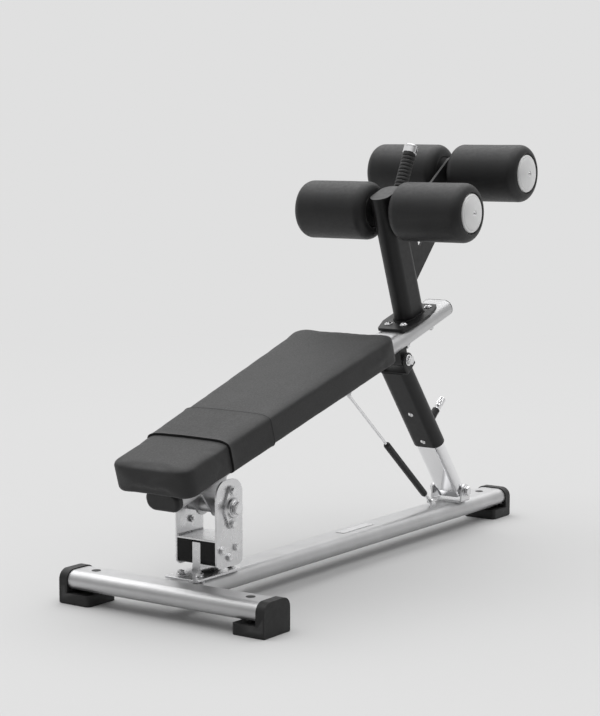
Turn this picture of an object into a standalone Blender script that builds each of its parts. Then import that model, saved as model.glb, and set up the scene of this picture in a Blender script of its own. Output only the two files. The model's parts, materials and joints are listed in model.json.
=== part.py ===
"""Decline sit-up bench with a tilting seat, a telescopic pin-locked leg, a gas spring and four leg rollers.

Metres, +Z up. The floor is z = 0, the low end of the seat points to -Y and the leg rollers to +Y.
Base pieces are placed from the axis of the front cross tube, seat pieces from the seat pivot in the seat's own
axes (y up along the seat, z away from it), leg pieces from the leg's foot bolt and gas spring pieces from its
lower eye (z along the piece).
"""

import math

import bmesh
import bpy
from mathutils import Vector
from mathutils.geometry import convex_hull_2d

# ---------------------------------------------------------------- driving dimensions
GAP = 0.0003
CENTRE_Y = 0.76155  # from the front cross tube's axis to the middle of the bench

BASE_TUBE = (0.100, 0.050)
BASE_TUBE_Z = 0.059
WALL = 0.003
CROSS_HALF = 0.3175
SPINE_END = 1.6135
FOOT_OUT = 0.0065  # how far an end cap stands past its tube
FOOT_HEIGHT = 0.028
FOOT_LENGTH = 0.098
FOOT_WIDTH = 0.1066
FOOT_COLLAR = 0.026
PLUG_X = 0.245
PLUG_Y = 1.520

PIVOT_Y = 0.158
PIVOT_Z = 0.257
SEAT_ANGLE = math.radians(16.6)
CRADLE_Y = 0.1537
CRADLE_LENGTH = 0.108
CRADLE_BOTTOM = 0.106
CRADLE_TOP = 0.3285
CRADLE_INNER = 0.0605
CRADLE_PLATE = 0.005
SHELF_TOP = 0.180
FLANGE = (0.106, 0.190, 0.006)
FLANGE_Y = 0.128
WEB_HALF = 0.013
WEB_ENDS = (0.1007, 0.1925)
RUBBER_BOTTOM = 0.1113
CLAMP_BOLTS = ((-0.036, 0.152), (0.022, 0.152), (-0.007, 0.130))
BEARING_BOLT = 0.042
PIVOT_RADIUS = 0.0125
FLANGE_BOLTS = ((0.030, 0.076), (0.030, 0.2055))

SEAT_TUBE = (0.102, 0.050)
SEAT_TUBE_TOP = 0.112
SEAT_FRONT = -0.154
SEAT_REAR = 1.1757
LUG_X = 0.024
LUG_RADIUS = 0.028

PAD_FRONT = -0.208
PAD_REAR = 0.710
PAD_BOTTOM = 0.119
PAD_TOP = 0.197
PAD_HALF_FRONT = 0.1212
PAD_HALF_REAR = 0.1660
SLEEVE = (-0.035, 0.131)
SLEEVE_THICK = 0.0035

POST_TUBE = (0.060, 0.106)
POST_FOOT = (1.0213, 0.121)
POST_TOP = (0.9963, 0.502)
POST_PLATE = 0.009
POST_BOLTS = ((0.0255, 0.949), (0.0215, 1.093))
AXLE_RADIUS = 0.0125
FRONT_AXLE = (0.9968, 0.4479)
REAR_AXLE = (1.3598, 0.4463)
ROLLER_RADIUS = 0.083
ROLLER_LENGTH = 0.234
ROLLER_FILLET = 0.027
FRONT_INNER = 0.0425  # from the middle plane to the inner ends of a row's rollers
REAR_INNER = 0.022
DISC_RADIUS = 0.055
DISC_RIM = 0.007
DISC_DOME = 0.0145
HANDLE_FOOT = (1.035, 0.444)
HANDLE_TOP = (1.1685, 0.5870)
HANDLE_RADIUS = 0.0125
GRIP_RADIUS = 0.019
GRIP_LENGTH = 0.115
HANDLE_CAP = 0.025

LEG_FOOT = (1.345, 0.118)
LEG_TOP = (0.9004, 0.034)
LEG_OUTER = (0.100, 0.050)
LEG_INNER = (0.090, 0.040)
LEG_OUTER_START = 0.205
LEG_OUTER_END = 0.510
LEG_BOLT_RADIUS = 0.008
LEG_PLAY = 0.006  # radial play at the pivots that close the two linkages
GAS_PLAY = 0.0042
PIN_HEIGHT = 0.2525
PIN_RADIUS = 0.005
PIN_COLLAR_END = 0.088
HOLE_PITCH = 0.02177  # one and a half degrees of seat tilt

GAS_FOOT = (1.228, 0.098)
GAS_TOP = (0.654, 0.035)
GAS_RADIUS = 0.010
GAS_ROD_RADIUS = 0.004
GAS_BODY = (0.040, 0.320)

# ---------------------------------------------------------------- orientations of flat outlines and rods
FLAT = (0, 0, 0)
UPRIGHT = (math.pi / 2, 0, 0)  # outline in X and Z, thickness along Y
SIDE = (math.pi / 2, 0, math.pi / 2)  # outline in Y and Z, thickness along X
TO_RIGHT = (0, math.pi / 2, 0)  # rod axis along +X
TO_LEFT = (0, -math.pi / 2, 0)
TO_REAR = (-math.pi / 2, 0, 0)


def seat_point(y, z):
    """Where a point of the seat, given in the seat's axes, stands in the base's Y and Z."""
    cos, sin = math.cos(SEAT_ANGLE), math.sin(SEAT_ANGLE)
    return PIVOT_Y + y * cos - z * sin, PIVOT_Z + y * sin + z * cos


def span(foot, top):
    """Length of the line from foot to top in the YZ plane, and its lean away from +Z."""
    dy, dz = top[0] - foot[0], top[1] - foot[1]
    return math.hypot(dy, dz), math.atan2(-dy, dz)


LEG_LENGTH, LEG_LEAN = span(LEG_FOOT, seat_point(*LEG_TOP))
GAS_LENGTH, GAS_LEAN = span(GAS_FOOT, seat_point(*GAS_TOP))

# ---------------------------------------------------------------- scene set-up
for old in list(bpy.data.objects):
    bpy.data.objects.remove(old)


def new_collection(name):
    made = bpy.data.collections.new(name)
    bpy.context.scene.collection.children.link(made)
    return made


BENCH = new_collection("decline_sit_up_bench")
CUTTERS = new_collection("cutters")


def new_material(name, colour, roughness, metallic=0.0):
    made = bpy.data.materials.new(name)
    made.use_nodes = True
    shader = made.node_tree.nodes["Principled BSDF"]
    shader.inputs["Base Color"].default_value = (*colour, 1)
    shader.inputs["Roughness"].default_value = roughness
    shader.inputs["Metallic"].default_value = metallic
    return made


SATIN_STEEL = new_material("satin_steel", (0.55, 0.55, 0.55), 0.35, 0.9)
ZINC = new_material("zinc_plate", (0.70, 0.70, 0.70), 0.30, 1.0)
CHROME = new_material("chrome", (0.85, 0.85, 0.86), 0.08, 1.0)
BLACK_PAINT = new_material("black_paint", (0.025, 0.025, 0.026), 0.35)
BLACK_RUBBER = new_material("black_rubber", (0.03, 0.03, 0.03), 0.7)
VINYL = new_material("vinyl", (0.05, 0.05, 0.05), 0.5)
FOAM = new_material("foam_skin", (0.035, 0.035, 0.035), 0.6)
PLASTIC = new_material("plastic", (0.03, 0.03, 0.03), 0.45)
DISC = new_material("disc_aluminium", (0.78, 0.78, 0.78), 0.35, 0.6)


def empty(name, parent, location=(0, 0, 0), tilt=0.0):
    """An axis that pieces hang on. A positive tilt lifts its +Y side."""
    made = bpy.data.objects.new(name, None)
    made.empty_display_size = 0.05
    made.parent = parent
    made.location = location
    made.rotation_euler = (tilt, 0, 0)
    BENCH.objects.link(made)
    return made


def place(name, mesh, material, parent, location=(0, 0, 0), rotation=FLAT):
    made = bpy.data.objects.new(name, mesh)
    if not mesh.materials:
        mesh.materials.append(material)
    made.parent = parent
    made.location = location
    made.rotation_euler = rotation
    BENCH.objects.link(made)
    return made


def helper(mesh, parent, location=(0, 0, 0), rotation=FLAT):
    """A hidden shape that cuts other pieces or is welded to one."""
    made = bpy.data.objects.new("tool_" + mesh.name, mesh)
    made.parent = parent
    made.location = location
    made.rotation_euler = rotation
    made.hide_render = True
    made.display_type = "WIRE"
    CUTTERS.objects.link(made)
    return made


def boolean(piece, tools, operation):
    for tool in tools:
        modifier = piece.modifiers.new(operation.lower(), "BOOLEAN")
        modifier.operation = operation
        modifier.solver = "EXACT"
        modifier.object = tool
    return piece


def weld(piece, *tools):
    return boolean(piece, tools, "UNION")


def cut(piece, *tools):
    return boolean(piece, tools, "DIFFERENCE")


def bevel(piece, width, segments=2, angle=40):
    modifier = piece.modifiers.new("bevel", "BEVEL")
    modifier.width = width
    modifier.segments = segments
    modifier.limit_method = "ANGLE"
    modifier.angle_limit = math.radians(angle)
    return piece


# ---------------------------------------------------------------- meshes
def finish_mesh(bm, name):
    bmesh.ops.remove_doubles(bm, verts=bm.verts, dist=0.00001)
    bmesh.ops.recalc_face_normals(bm, faces=bm.faces)
    mesh = bpy.data.meshes.new(name)
    bm.to_mesh(mesh)
    bm.free()
    mesh.shade_smooth()
    mesh.set_sharp_from_angle(angle=math.radians(35))
    return mesh


def evaluated(piece):
    """The mesh a piece's curve or modifiers make, with the piece and its tools removed."""
    bpy.context.view_layer.update()
    graph = bpy.context.evaluated_depsgraph_get()
    bm = bmesh.new()
    made = bpy.data.meshes.new_from_object(piece.evaluated_get(graph))
    bm.from_mesh(made)
    bm.transform(piece.matrix_world)
    bpy.data.meshes.remove(made)
    name = piece.name
    for tool in [m.object for m in piece.modifiers if m.type == "BOOLEAN"]:
        bpy.data.objects.remove(tool)
    bpy.data.objects.remove(piece)
    return finish_mesh(bm, name)


def slab(name, outline, depth, holes=()):
    """A flat outline with straight-through holes, as thick as depth, centred on its plane."""
    curve = bpy.data.curves.new(name, "CURVE")
    curve.dimensions = "2D"
    curve.fill_mode = "BOTH"
    curve.extrude = depth / 2
    curve.render_resolution_u = 0
    for points in (outline, *holes):
        spline = curve.splines.new("POLY")
        spline.points.add(len(points) - 1)
        spline.use_cyclic_u = True
        for target, (x, y) in zip(spline.points, points):
            target.co = (x, y, 0, 1)
    piece = bpy.data.objects.new(name, curve)
    BENCH.objects.link(piece)
    return evaluated(piece)


def rod(name, radius, length, segments=16, top_radius=None):
    """A cylinder or cone along Z, centred."""
    bm = bmesh.new()
    top = radius if top_radius is None else top_radius
    bmesh.ops.create_cone(bm, cap_ends=True, segments=segments, radius1=radius, radius2=top, depth=length)
    return finish_mesh(bm, name)


def block(name, x, y, z):
    bm = bmesh.new()
    bmesh.ops.create_cube(bm, size=1)
    bmesh.ops.scale(bm, vec=(x, y, z), verts=bm.verts)
    return finish_mesh(bm, name)


def turned(name, profile, steps=20):
    """A turned solid from its profile of (radius, z), which runs down its outer side."""
    outline = bpy.data.meshes.new(name + "_profile")
    edges = [(i, i + 1) for i in range(len(profile) - 1)]
    if profile[0][0] > 0:
        edges.append((len(profile) - 1, 0))
    outline.from_pydata([(r, 0, z) for r, z in profile], edges, [])
    piece = bpy.data.objects.new(name, outline)
    BENCH.objects.link(piece)
    screw = piece.modifiers.new("screw", "SCREW")
    screw.axis = "Z"
    screw.steps = steps
    screw.render_steps = steps
    screw.use_merge_vertices = True
    screw.merge_threshold = 0.00005
    return evaluated(piece)


# ---------------------------------------------------------------- outlines
def arc(centre, radius, start, end, steps):
    """Points on an arc, both ends included. Angles in degrees, 0 along the first axis."""
    angles = [math.radians(start + (end - start) * i / steps) for i in range(steps + 1)]
    return [(centre[0] + radius * math.cos(a), centre[1] + radius * math.sin(a)) for a in angles]


def rounded(corners, radii, steps=3):
    """A closed outline through the corners, each one rounded off by an arc of its own radius."""
    outline = []
    for i, corner in enumerate(corners):
        here = Vector(corner)
        before = (Vector(corners[i - 1]) - here).normalized()
        after = (Vector(corners[(i + 1) % len(corners)]) - here).normalized()
        if radii[i] == 0:
            outline.append(tuple(here))
            continue
        half = before.angle(after) / 2
        centre = here + (before + after).normalized() * radii[i] / math.sin(half)
        reach = radii[i] / math.tan(half)
        first = here + before * reach - centre
        last = here + after * reach - centre
        start = math.degrees(math.atan2(first.y, first.x))
        turn = math.degrees(math.atan2(last.y, last.x)) - start
        turn = (turn + 180) % 360 - 180
        outline += arc(centre, radii[i], start, start + turn, steps)
    return [p for i, p in enumerate(outline) if math.dist(p, outline[i - 1]) > 0.000005]


def box_outline(width, height, radius, steps=3):
    x, y = width / 2, height / 2
    return rounded([(-x, -y), (x, -y), (x, y), (-x, y)], [radius] * 4, steps)


def oval_outline(size, grow=0.0, steps=4):
    """A flat oval: a rectangle whose short sides are half rounds."""
    width, height = size[0] + 2 * grow, size[1] + 2 * grow
    return box_outline(width, height, min(width, height) / 2, steps)


def hull(circles, points=()):
    """The outline stretched round circles, given as (y, z, radius), and single points."""
    cloud = [p for y, z, r in circles for p in arc((y, z), r, 0, 360 * 15 / 16, 15)]
    cloud += list(points)
    return [cloud[i] for i in convex_hull_2d(cloud)]


def oval_tube(name, size, length):
    return slab(name, oval_outline(size), length, [oval_outline(size, -WALL)])


# ---------------------------------------------------------------- fasteners, seated at z = 0 with the shank below
def bolt(name, radius, flats, head, grip, washer=0.0, nut=False, button=False):
    """A hex or button bolt. grip is the length of the shank under the head, and with nut the stack it clamps."""
    tail = grip + (washer + head + radius / 2 if nut else 0)
    if button:
        top = rod(name + "_head", flats / 2, head, 14, flats / 3.2)
    else:
        top = rod(name + "_head", flats / math.sqrt(3), head, 6)
    piece = place(name, top, ZINC, None, (0, 0, washer + head / 2))
    tools = [helper(rod(name + "_shank", radius, tail + head / 2, 10), None, (0, 0, head / 4 - tail / 2))]
    if nut:
        nut_mesh = rod(name + "_nut", flats / math.sqrt(3), head, 6)
        tools.append(helper(nut_mesh, None, (0, 0, -grip - washer - head / 2)))
    if washer:
        ring = rod(name + "_washer", flats * 0.68, washer * 1.2, 14)
        tools.append(helper(ring, None, (0, 0, washer * 0.6)))
        if nut:
            tools.append(helper(ring, None, (0, 0, -grip - washer * 0.6)))
    return evaluated(weld(piece, *tools))


# ---------------------------------------------------------------- base
BASE = empty("base_frame", None, (0, -CENTRE_Y, 0))


def plug_mesh():
    stem, cap, depth, rise = 0.0090, 0.0120, 0.008, 0.0012
    top = [(0, rise), (cap * 0.8, rise), (cap, rise * 0.4), (cap, 0)]
    return turned("plug", top + [(stem, 0), (stem, -depth), (0, -depth)], 12)


def foot_cap(name, location, turn):
    """An end cap with a collar round the tube's end and a foot under it. Its tube comes in along local -X."""
    inner = FOOT_COLLAR - FOOT_OUT
    top = BASE_TUBE_Z + BASE_TUBE[1] / 2 + 0.003
    corners = [(-FOOT_WIDTH / 2, 0), (FOOT_WIDTH / 2, 0), (FOOT_WIDTH / 2, top), (-FOOT_WIDTH / 2, top)]
    collar = slab("collar", rounded(corners, [0.003, 0.003, 0.027, 0.027]), FOOT_COLLAR)
    axis = empty(name + "_axis", BASE, location)
    axis.rotation_euler = (0, 0, turn)
    piece = place(name, collar, BLACK_RUBBER, axis, (FOOT_OUT - FOOT_COLLAR / 2, 0, 0), SIDE)
    plan = box_outline(FOOT_LENGTH, FOOT_WIDTH, 0.010)
    sole = slab("sole", plan, FOOT_HEIGHT)
    weld(piece, helper(sole, axis, (FOOT_OUT - FOOT_LENGTH / 2 - 0.0002, 0, FOOT_HEIGHT / 2)))
    socket = slab("socket", oval_outline(BASE_TUBE, GAP), 2 * inner)
    cut(piece, helper(socket, axis, (GAP - inner, 0, BASE_TUBE_Z), SIDE))
    return piece


def build_base():
    top = BASE_TUBE_Z + BASE_TUBE[1] / 2
    cross = place("front_cross_tube", oval_tube("cross", BASE_TUBE, 2 * CROSS_HALF), SATIN_STEEL, BASE,
                  (0, 0, BASE_TUBE_Z), SIDE)
    start = 0.030
    spine = place("base_spine", oval_tube("spine", BASE_TUBE, SPINE_END - start), SATIN_STEEL, BASE,
                  (0, (SPINE_END + start) / 2, BASE_TUBE_Z), UPRIGHT)
    coping = slab("coping", oval_outline(BASE_TUBE, GAP, 8), 0.2)
    cut(spine, helper(coping, BASE, (0, 0, BASE_TUBE_Z), SIDE))

    plug = plug_mesh()
    seats = {"left": (-PLUG_X, 0, top), "right": (PLUG_X, 0, top), "rear": (0, PLUG_Y, top)}
    for side, spot in seats.items():
        bore = helper(rod("plug_bore", 0.0093, 0.012, 16), BASE, spot)
        cut(spine if side == "rear" else cross, bore)
        place("hole_plug_" + side, plug, PLASTIC, BASE, (spot[0], spot[1], spot[2] + GAP))

    foot_cap("foot_cap_right", (CROSS_HALF, 0, 0), 0)
    foot_cap("foot_cap_left", (-CROSS_HALF, 0, 0), math.pi)
    foot_cap("foot_cap_rear", (0, SPINE_END, 0), math.pi / 2)
    plate = slab("plate", box_outline(0.028, 0.155, 0.003), 0.001)
    place("name_plate", plate, ZINC, BASE, (0, 0.8225, top + GAP + 0.0005))

    eye_y, eye_z = GAS_FOOT
    tab = slab("gas_tab", hull([(0, eye_z, 0.009)], [(-0.016, top - 0.002), (0.016, top - 0.002)]), 0.005)
    stud = rod("gas_stud", GAS_ROD_RADIUS, 0.020, 12)
    weld(spine, helper(tab, BASE, (0.010, eye_y, 0), SIDE), helper(stud, BASE, (0.001, eye_y, eye_z), TO_RIGHT))
    return spine, top


def build_pedestal(spine, top):
    width, length, thick = FLANGE
    flange_top = top + GAP + thick
    pedestal = place("pivot_pedestal", slab("flange", box_outline(width, length, 0.012), thick), ZINC, BASE,
                     (0, FLANGE_Y, flange_top - thick / 2))
    low = flange_top - 0.004
    shelf = flange_top - 0.0004
    head = SHELF_TOP - CRADLE_PLATE - 0.005
    wide = WEB_HALF + 0.022
    corners = [(-wide, low), (wide, low), (wide, shelf), (WEB_HALF, shelf),
               (WEB_HALF, head), (-WEB_HALF, head), (-WEB_HALF, shelf), (-wide, shelf)]
    start, end = WEB_ENDS
    web = slab("web", rounded(corners, [0, 0, 0, 0.014, 0.003, 0.003, 0.014, 0]), end - start)
    weld(pedestal, helper(web, BASE, (0, (start + end) / 2, 0), UPRIGHT))
    fixing = bolt("fixing", 0.005, 0.017, 0.0064, 0.020, washer=0.002)
    spots = [(sign * x, y) for x, y in FLANGE_BOLTS for sign in (-1, 1)]
    for number, (x, y) in enumerate(spots, 1):
        bore = helper(rod("fixing_bore", 0.005 + GAP, 0.040, 10), BASE, (x, y, top))
        cut(spine, bore)
        cut(pedestal, bore)
        place(f"pedestal_bolt_{number}", fixing, ZINC, BASE, (x, y, flange_top + GAP))

    drill = rod("clamp_bore", 0.005 + GAP, 0.16, 10)
    clamp_bores = [helper(drill, BASE, (0, PIVOT_Y + y, z), TO_RIGHT) for y, z in CLAMP_BOLTS]
    cut(pedestal, *clamp_bores)

    rubber_top = SHELF_TOP - CRADLE_PLATE - GAP
    half = CRADLE_LENGTH / 2
    corners = [(-half, RUBBER_BOTTOM), (half, RUBBER_BOTTOM), (half, rubber_top), (-half, rubber_top)]
    inner, outer = WEB_HALF + GAP, CRADLE_INNER - GAP
    rubber = slab("rubber", rounded(corners, [0.018, 0.018, 0.002, 0.002]), outer - inner)
    for side, sign in (("left", -1), ("right", 1)):
        mount = place("rubber_mount_" + side, rubber, BLACK_RUBBER, BASE,
                      (sign * (inner + outer) / 2, CRADLE_Y, 0), SIDE)
        cut(mount, *clamp_bores)
    return clamp_bores


def build_cradle(clamp_bores):
    half = CRADLE_LENGTH / 2
    corners = [(-half, CRADLE_BOTTOM), (half, CRADLE_BOTTOM), (half, CRADLE_TOP), (-half, CRADLE_TOP)]
    cheek = slab("cheek", rounded(corners, [0.017, 0.017, 0.040, 0.040], 4), CRADLE_PLATE)
    x = CRADLE_INNER + CRADLE_PLATE / 2
    cradle = place("pivot_cradle", cheek, ZINC, BASE, (x, CRADLE_Y, 0), SIDE)
    shelf = block("shelf", 2 * x, CRADLE_LENGTH, CRADLE_PLATE)
    weld(cradle, helper(shelf, BASE, (0, CRADLE_Y, SHELF_TOP - CRADLE_PLATE / 2)),
         helper(cheek.copy(), BASE, (-x, CRADLE_Y, 0), SIDE))
    pivot = (0, PIVOT_Y, PIVOT_Z)
    cut(cradle, *clamp_bores, helper(rod("pivot_bore", 0.0145, 0.2, 20), BASE, pivot, TO_RIGHT))
    outside = CRADLE_INNER + CRADLE_PLATE + GAP

    clamp = bolt("clamp", 0.005, 0.017, 0.0064, 2 * outside, nut=True)
    for number, (y, z) in enumerate(CLAMP_BOLTS, 1):
        place(f"cradle_bolt_{number}", clamp, ZINC, BASE, (outside, PIVOT_Y + y, z), TO_RIGHT)

    thick, ring = 0.007, 0.014
    outline = hull([(0, 0, 0.031), (0, BEARING_BOLT, 0.0135), (0, -BEARING_BOLT, 0.0135)])
    flange = slab("bearing_flange", outline, thick)
    stack = CRADLE_PLATE + thick + 3 * GAP
    fixing = bolt("bearing_fixing", 0.005, 0.017, 0.0064, stack, nut=True)
    hub = rod("bearing_ring", 0.0265, ring - 0.002, 20)
    holes = [helper(rod("bearing_bore", PIVOT_RADIUS + GAP, 0.3, 20), BASE, pivot, TO_RIGHT)]
    for rise in (-BEARING_BOLT, BEARING_BOLT):
        spot = (0, PIVOT_Y, PIVOT_Z + rise)
        holes.append(helper(rod("bearing_bolt_bore", 0.005 + GAP, 0.3, 10), BASE, spot, TO_RIGHT))
    cut(cradle, *holes[1:])
    for side, sign, facing in (("left", -1, TO_LEFT), ("right", 1, TO_RIGHT)):
        housing = place("bearing_housing_" + side, flange.copy(), ZINC, BASE,
                        (sign * (outside + thick / 2), PIVOT_Y, PIVOT_Z), SIDE)
        weld(housing, helper(hub, BASE, (sign * (outside + ring / 2 + 0.001), PIVOT_Y, PIVOT_Z), TO_RIGHT))
        cut(housing, *holes)
        for level, rise in (("lower", -BEARING_BOLT), ("upper", BEARING_BOLT)):
            spot = (sign * (outside + thick + GAP), PIVOT_Y, PIVOT_Z + rise)
            place(f"bearing_bolt_{side}_{level}", fixing, ZINC, BASE, spot, facing)
    return outside + ring


def build_leg_foot(top):
    y, z = LEG_FOOT
    thick = 0.006
    inside = LEG_INNER[0] / 2 + 0.0025
    base = block("foot_base", 2 * (inside + thick), 0.050, thick)
    bracket = place("leg_foot_bracket", base, ZINC, BASE, (0, y, top + GAP + thick / 2))
    low = top + GAP + 0.001
    ear = slab("foot_ear", hull([(0, z, 0.020)], [(-0.0249, low), (0.0249, low)]), thick)
    x = inside + thick / 2
    weld(bracket, helper(ear, BASE, (x, y, 0), SIDE), helper(ear, BASE, (-x, y, 0), SIDE))
    bore = rod("foot_bore", LEG_BOLT_RADIUS + GAP, 0.2, 16)
    cut(bracket, helper(bore, BASE, (0, y, z), TO_RIGHT))
    seat = inside + thick + GAP
    place("leg_foot_bolt", bolt("foot_bolt", LEG_BOLT_RADIUS, 0.024, 0.010, 2 * seat, 0.0025, nut=True), ZINC,
          BASE, (seat, y, z), TO_RIGHT)


# ---------------------------------------------------------------- seat
SEAT = empty("seat_pivot_axis", BASE, (0, PIVOT_Y, PIVOT_Z), SEAT_ANGLE)


def build_seat_frame(bearing_face):
    middle = SEAT_TUBE_TOP - SEAT_TUBE[1] / 2
    under = SEAT_TUBE_TOP - SEAT_TUBE[1]
    frame = place("seat_frame", oval_tube("frame", SEAT_TUBE, SEAT_REAR - SEAT_FRONT), SATIN_STEEL, SEAT,
                  (0, (SEAT_REAR + SEAT_FRONT) / 2, middle), UPRIGHT)
    bar = block("pad_bar", 0.150, 0.050, PAD_BOTTOM - GAP - SEAT_TUBE_TOP + 0.002)
    for y in (-0.100, 0.500):
        weld(frame, helper(bar, SEAT, (0, y, (PAD_BOTTOM - GAP + SEAT_TUBE_TOP - 0.002) / 2)))
    root = under + 0.002
    lug = slab("pivot_lug", hull([(0, 0, LUG_RADIUS)], [(-0.056, root), (0.056, root)]), 0.006)
    boss = rod("pivot_boss", 0.019, 2 * (CRADLE_INNER - GAP), 20)
    weld(frame, helper(lug, SEAT, (LUG_X, 0, 0), SIDE), helper(lug, SEAT, (-LUG_X, 0, 0), SIDE),
         helper(boss, SEAT, (0, 0, 0), TO_RIGHT))
    root = under + 0.007 - LEG_TOP[1]
    leg_lug = slab("leg_lug", hull([(0, 0, 0.018)], [(-0.0185, root), (0.0185, root)]), LEG_OUTER[0] - 0.0130)
    root = under + 0.002 - GAS_TOP[1]
    tab = slab("gas_lug", hull([(0, 0, 0.010)], [(-0.014, root), (0.014, root)]), 0.005)
    stud = rod("gas_top_stud", GAS_ROD_RADIUS, 0.020, 12)
    weld(frame, helper(leg_lug, SEAT, (0, *LEG_TOP), SIDE), helper(tab, SEAT, (0.010, *GAS_TOP), SIDE),
         helper(stud, SEAT, (0.001, *GAS_TOP), TO_RIGHT))
    cut(frame, helper(rod("seat_bore", PIVOT_RADIUS + GAP, 0.2, 20), SEAT, (0, 0, 0), TO_RIGHT),
        helper(rod("leg_lug_bore", LEG_BOLT_RADIUS + LEG_PLAY, 0.2, 20), SEAT, (0, *LEG_TOP), TO_RIGHT))
    face = bearing_face + GAP
    place("pivot_bolt", bolt("pivot", PIVOT_RADIUS, 0.030, 0.011, 2 * face, 0.003, nut=True), ZINC,
          SEAT, (face, 0, 0), TO_RIGHT)

    front = place("frame_front_cap", slab("front_cap", oval_outline(SEAT_TUBE), 0.022), PLASTIC, SEAT,
                  (0, SEAT_FRONT - GAP - 0.011, middle), UPRIGHT)
    bevel(front, 0.006, 2)
    place("frame_rear_cap", slab("rear_cap", oval_outline(SEAT_TUBE), 0.003), PLASTIC, SEAT,
          (0, SEAT_REAR + GAP + 0.0015, middle), UPRIGHT)
    return frame


def pad_half(y):
    """Half the pad's width at y along the seat."""
    share = (y - PAD_FRONT) / (PAD_REAR - PAD_FRONT)
    return PAD_HALF_FRONT + share * (PAD_HALF_REAR - PAD_HALF_FRONT)


def build_pad():
    corners = [(-pad_half(PAD_FRONT), PAD_FRONT), (pad_half(PAD_FRONT), PAD_FRONT),
               (pad_half(PAD_REAR), PAD_REAR), (-pad_half(PAD_REAR), PAD_REAR)]
    middle = (PAD_BOTTOM + PAD_TOP) / 2
    thick = PAD_TOP - PAD_BOTTOM
    pad = place("bench_pad", slab("pad", rounded(corners, [0.035] * 4, 4), thick), VINYL, SEAT, (0, 0, middle))
    bevel(pad, 0.008, 2)

    def ring(start, end, grow, name):
        outline = [(-pad_half(start) - grow, start), (pad_half(start) + grow, start),
                   (pad_half(end) + grow, end), (-pad_half(end) - grow, end)]
        return slab(name, outline, thick + 2 * grow)

    sleeve = place("pad_sleeve", ring(*SLEEVE, SLEEVE_THICK, "sleeve"), VINYL, SEAT, (0, 0, middle))
    cut(sleeve, helper(ring(SLEEVE[0] - 0.01, SLEEVE[1] + 0.01, GAP, "sleeve_inside"), SEAT, (0, 0, middle)))


def build_post(frame):
    foot = SEAT_TUBE_TOP + GAP
    height, lean = span(POST_FOOT, POST_TOP)
    upright = empty("post_axis", SEAT, (0, *POST_FOOT), lean)
    sunk = POST_PLATE / 2
    tube = slab("post", oval_outline(POST_TUBE), height + sunk, [oval_outline(POST_TUBE, -WALL)])
    post = place("roller_post", tube, BLACK_PAINT, upright, (0, 0, (height - sunk) / 2))
    half = [(0.042, 0.914), (0.0595, 0.972), (0.0595, 1.040), (0.0455, 1.100), (0.036, 1.119)]
    radii = [0.008, 0.020, 0.020, 0.020, 0.008]
    corners = half + [(-x, y) for x, y in reversed(half)]
    drain = arc((0, POST_FOOT[0]), 0.012, 0, 330, 11)
    sole = slab("post_sole", rounded(corners, radii + radii[::-1], 3), POST_PLATE, [drain])
    lid = slab("post_lid", oval_outline(POST_TUBE, -0.0001), 0.004)
    boss = rod("post_boss", 0.020, 2 * (FRONT_INNER - 2 * GAP), 20)
    weld(post, helper(sole, SEAT, (0, 0, foot + POST_PLATE / 2)), helper(lid, upright, (0, 0, height - 0.0022)),
         helper(boss, SEAT, (0, *FRONT_AXLE), TO_RIGHT))
    length, lean = span(HANDLE_FOOT, HANDLE_TOP)
    axis = empty("handle_axis", SEAT, (0, *HANDLE_FOOT), lean)
    bar_end = length - 0.012
    weld(post, helper(rod("handle_bar", HANDLE_RADIUS, bar_end, 16), axis, (0, 0, bar_end / 2)))
    cut(post, helper(rod("front_axle_bore", AXLE_RADIUS + GAP, 0.2, 20), SEAT, (0, *FRONT_AXLE), TO_RIGHT))

    grip_top = length - HANDLE_CAP - GAP
    inside = HANDLE_RADIUS + GAP
    grip = [(GRIP_RADIUS, grip_top), (GRIP_RADIUS, grip_top - GRIP_LENGTH),
            (inside, grip_top - GRIP_LENGTH), (inside, grip_top)]
    place("handle_grip", turned("grip", grip, 18), BLACK_RUBBER, axis)
    cap = [(0, length), (0.019, length), (0.0205, length - 0.002), (0.0205, length - HANDLE_CAP),
           (inside, length - HANDLE_CAP), (inside, bar_end + GAP), (0, bar_end + GAP)]
    place("handle_end_cap", turned("end_cap", cap, 18), CHROME, axis)

    stack = POST_PLATE + 3 * GAP + SEAT_TUBE[1]
    fixing = bolt("post_fixing", 0.005, 0.0175, 0.006, stack, nut=True, button=True)
    spots = [(sign * x, y) for x, y in POST_BOLTS for sign in (-1, 1)]
    for number, (x, y) in enumerate(spots, 1):
        bore = helper(rod("post_bore", 0.005 + GAP, 0.2, 10), SEAT, (x, y, 0.083))
        cut(frame, bore)
        cut(post, bore)
        place(f"post_bolt_{number}", fixing, ZINC, SEAT, (x, y, foot + POST_PLATE + GAP))


def build_gusset():
    y, z = REAR_AXLE
    height, lean = span(POST_FOOT, POST_TOP)
    rear = POST_FOOT[0] + (POST_TUBE[1] / 2 + GAP) / math.cos(lean)
    corners = [(rear - (level - POST_FOOT[1]) * math.tan(lean), level) for level in (0.1985, 0.395)]
    outline = hull([(y, z, 0.045), (y, z - 0.028, 0.045)], corners)
    edges = [(1.120, 0.288), (1.262, 0.385), (1.262, 0.404), (1.120, 0.352)]
    plate = slab("gusset", outline, 0.008, [rounded(edges, [0.010, 0.006, 0.006, 0.010])])
    gusset = place("rear_roller_gusset", plate, BLACK_PAINT, SEAT, (0, 0, 0), SIDE)
    weld(gusset, helper(rod("gusset_boss", 0.024, 2 * (REAR_INNER - 2 * GAP), 20), SEAT, (0, y, z), TO_RIGHT))
    cut(gusset, helper(rod("rear_axle_bore", AXLE_RADIUS + GAP, 0.2, 20), SEAT, (0, y, z), TO_RIGHT))


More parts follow.
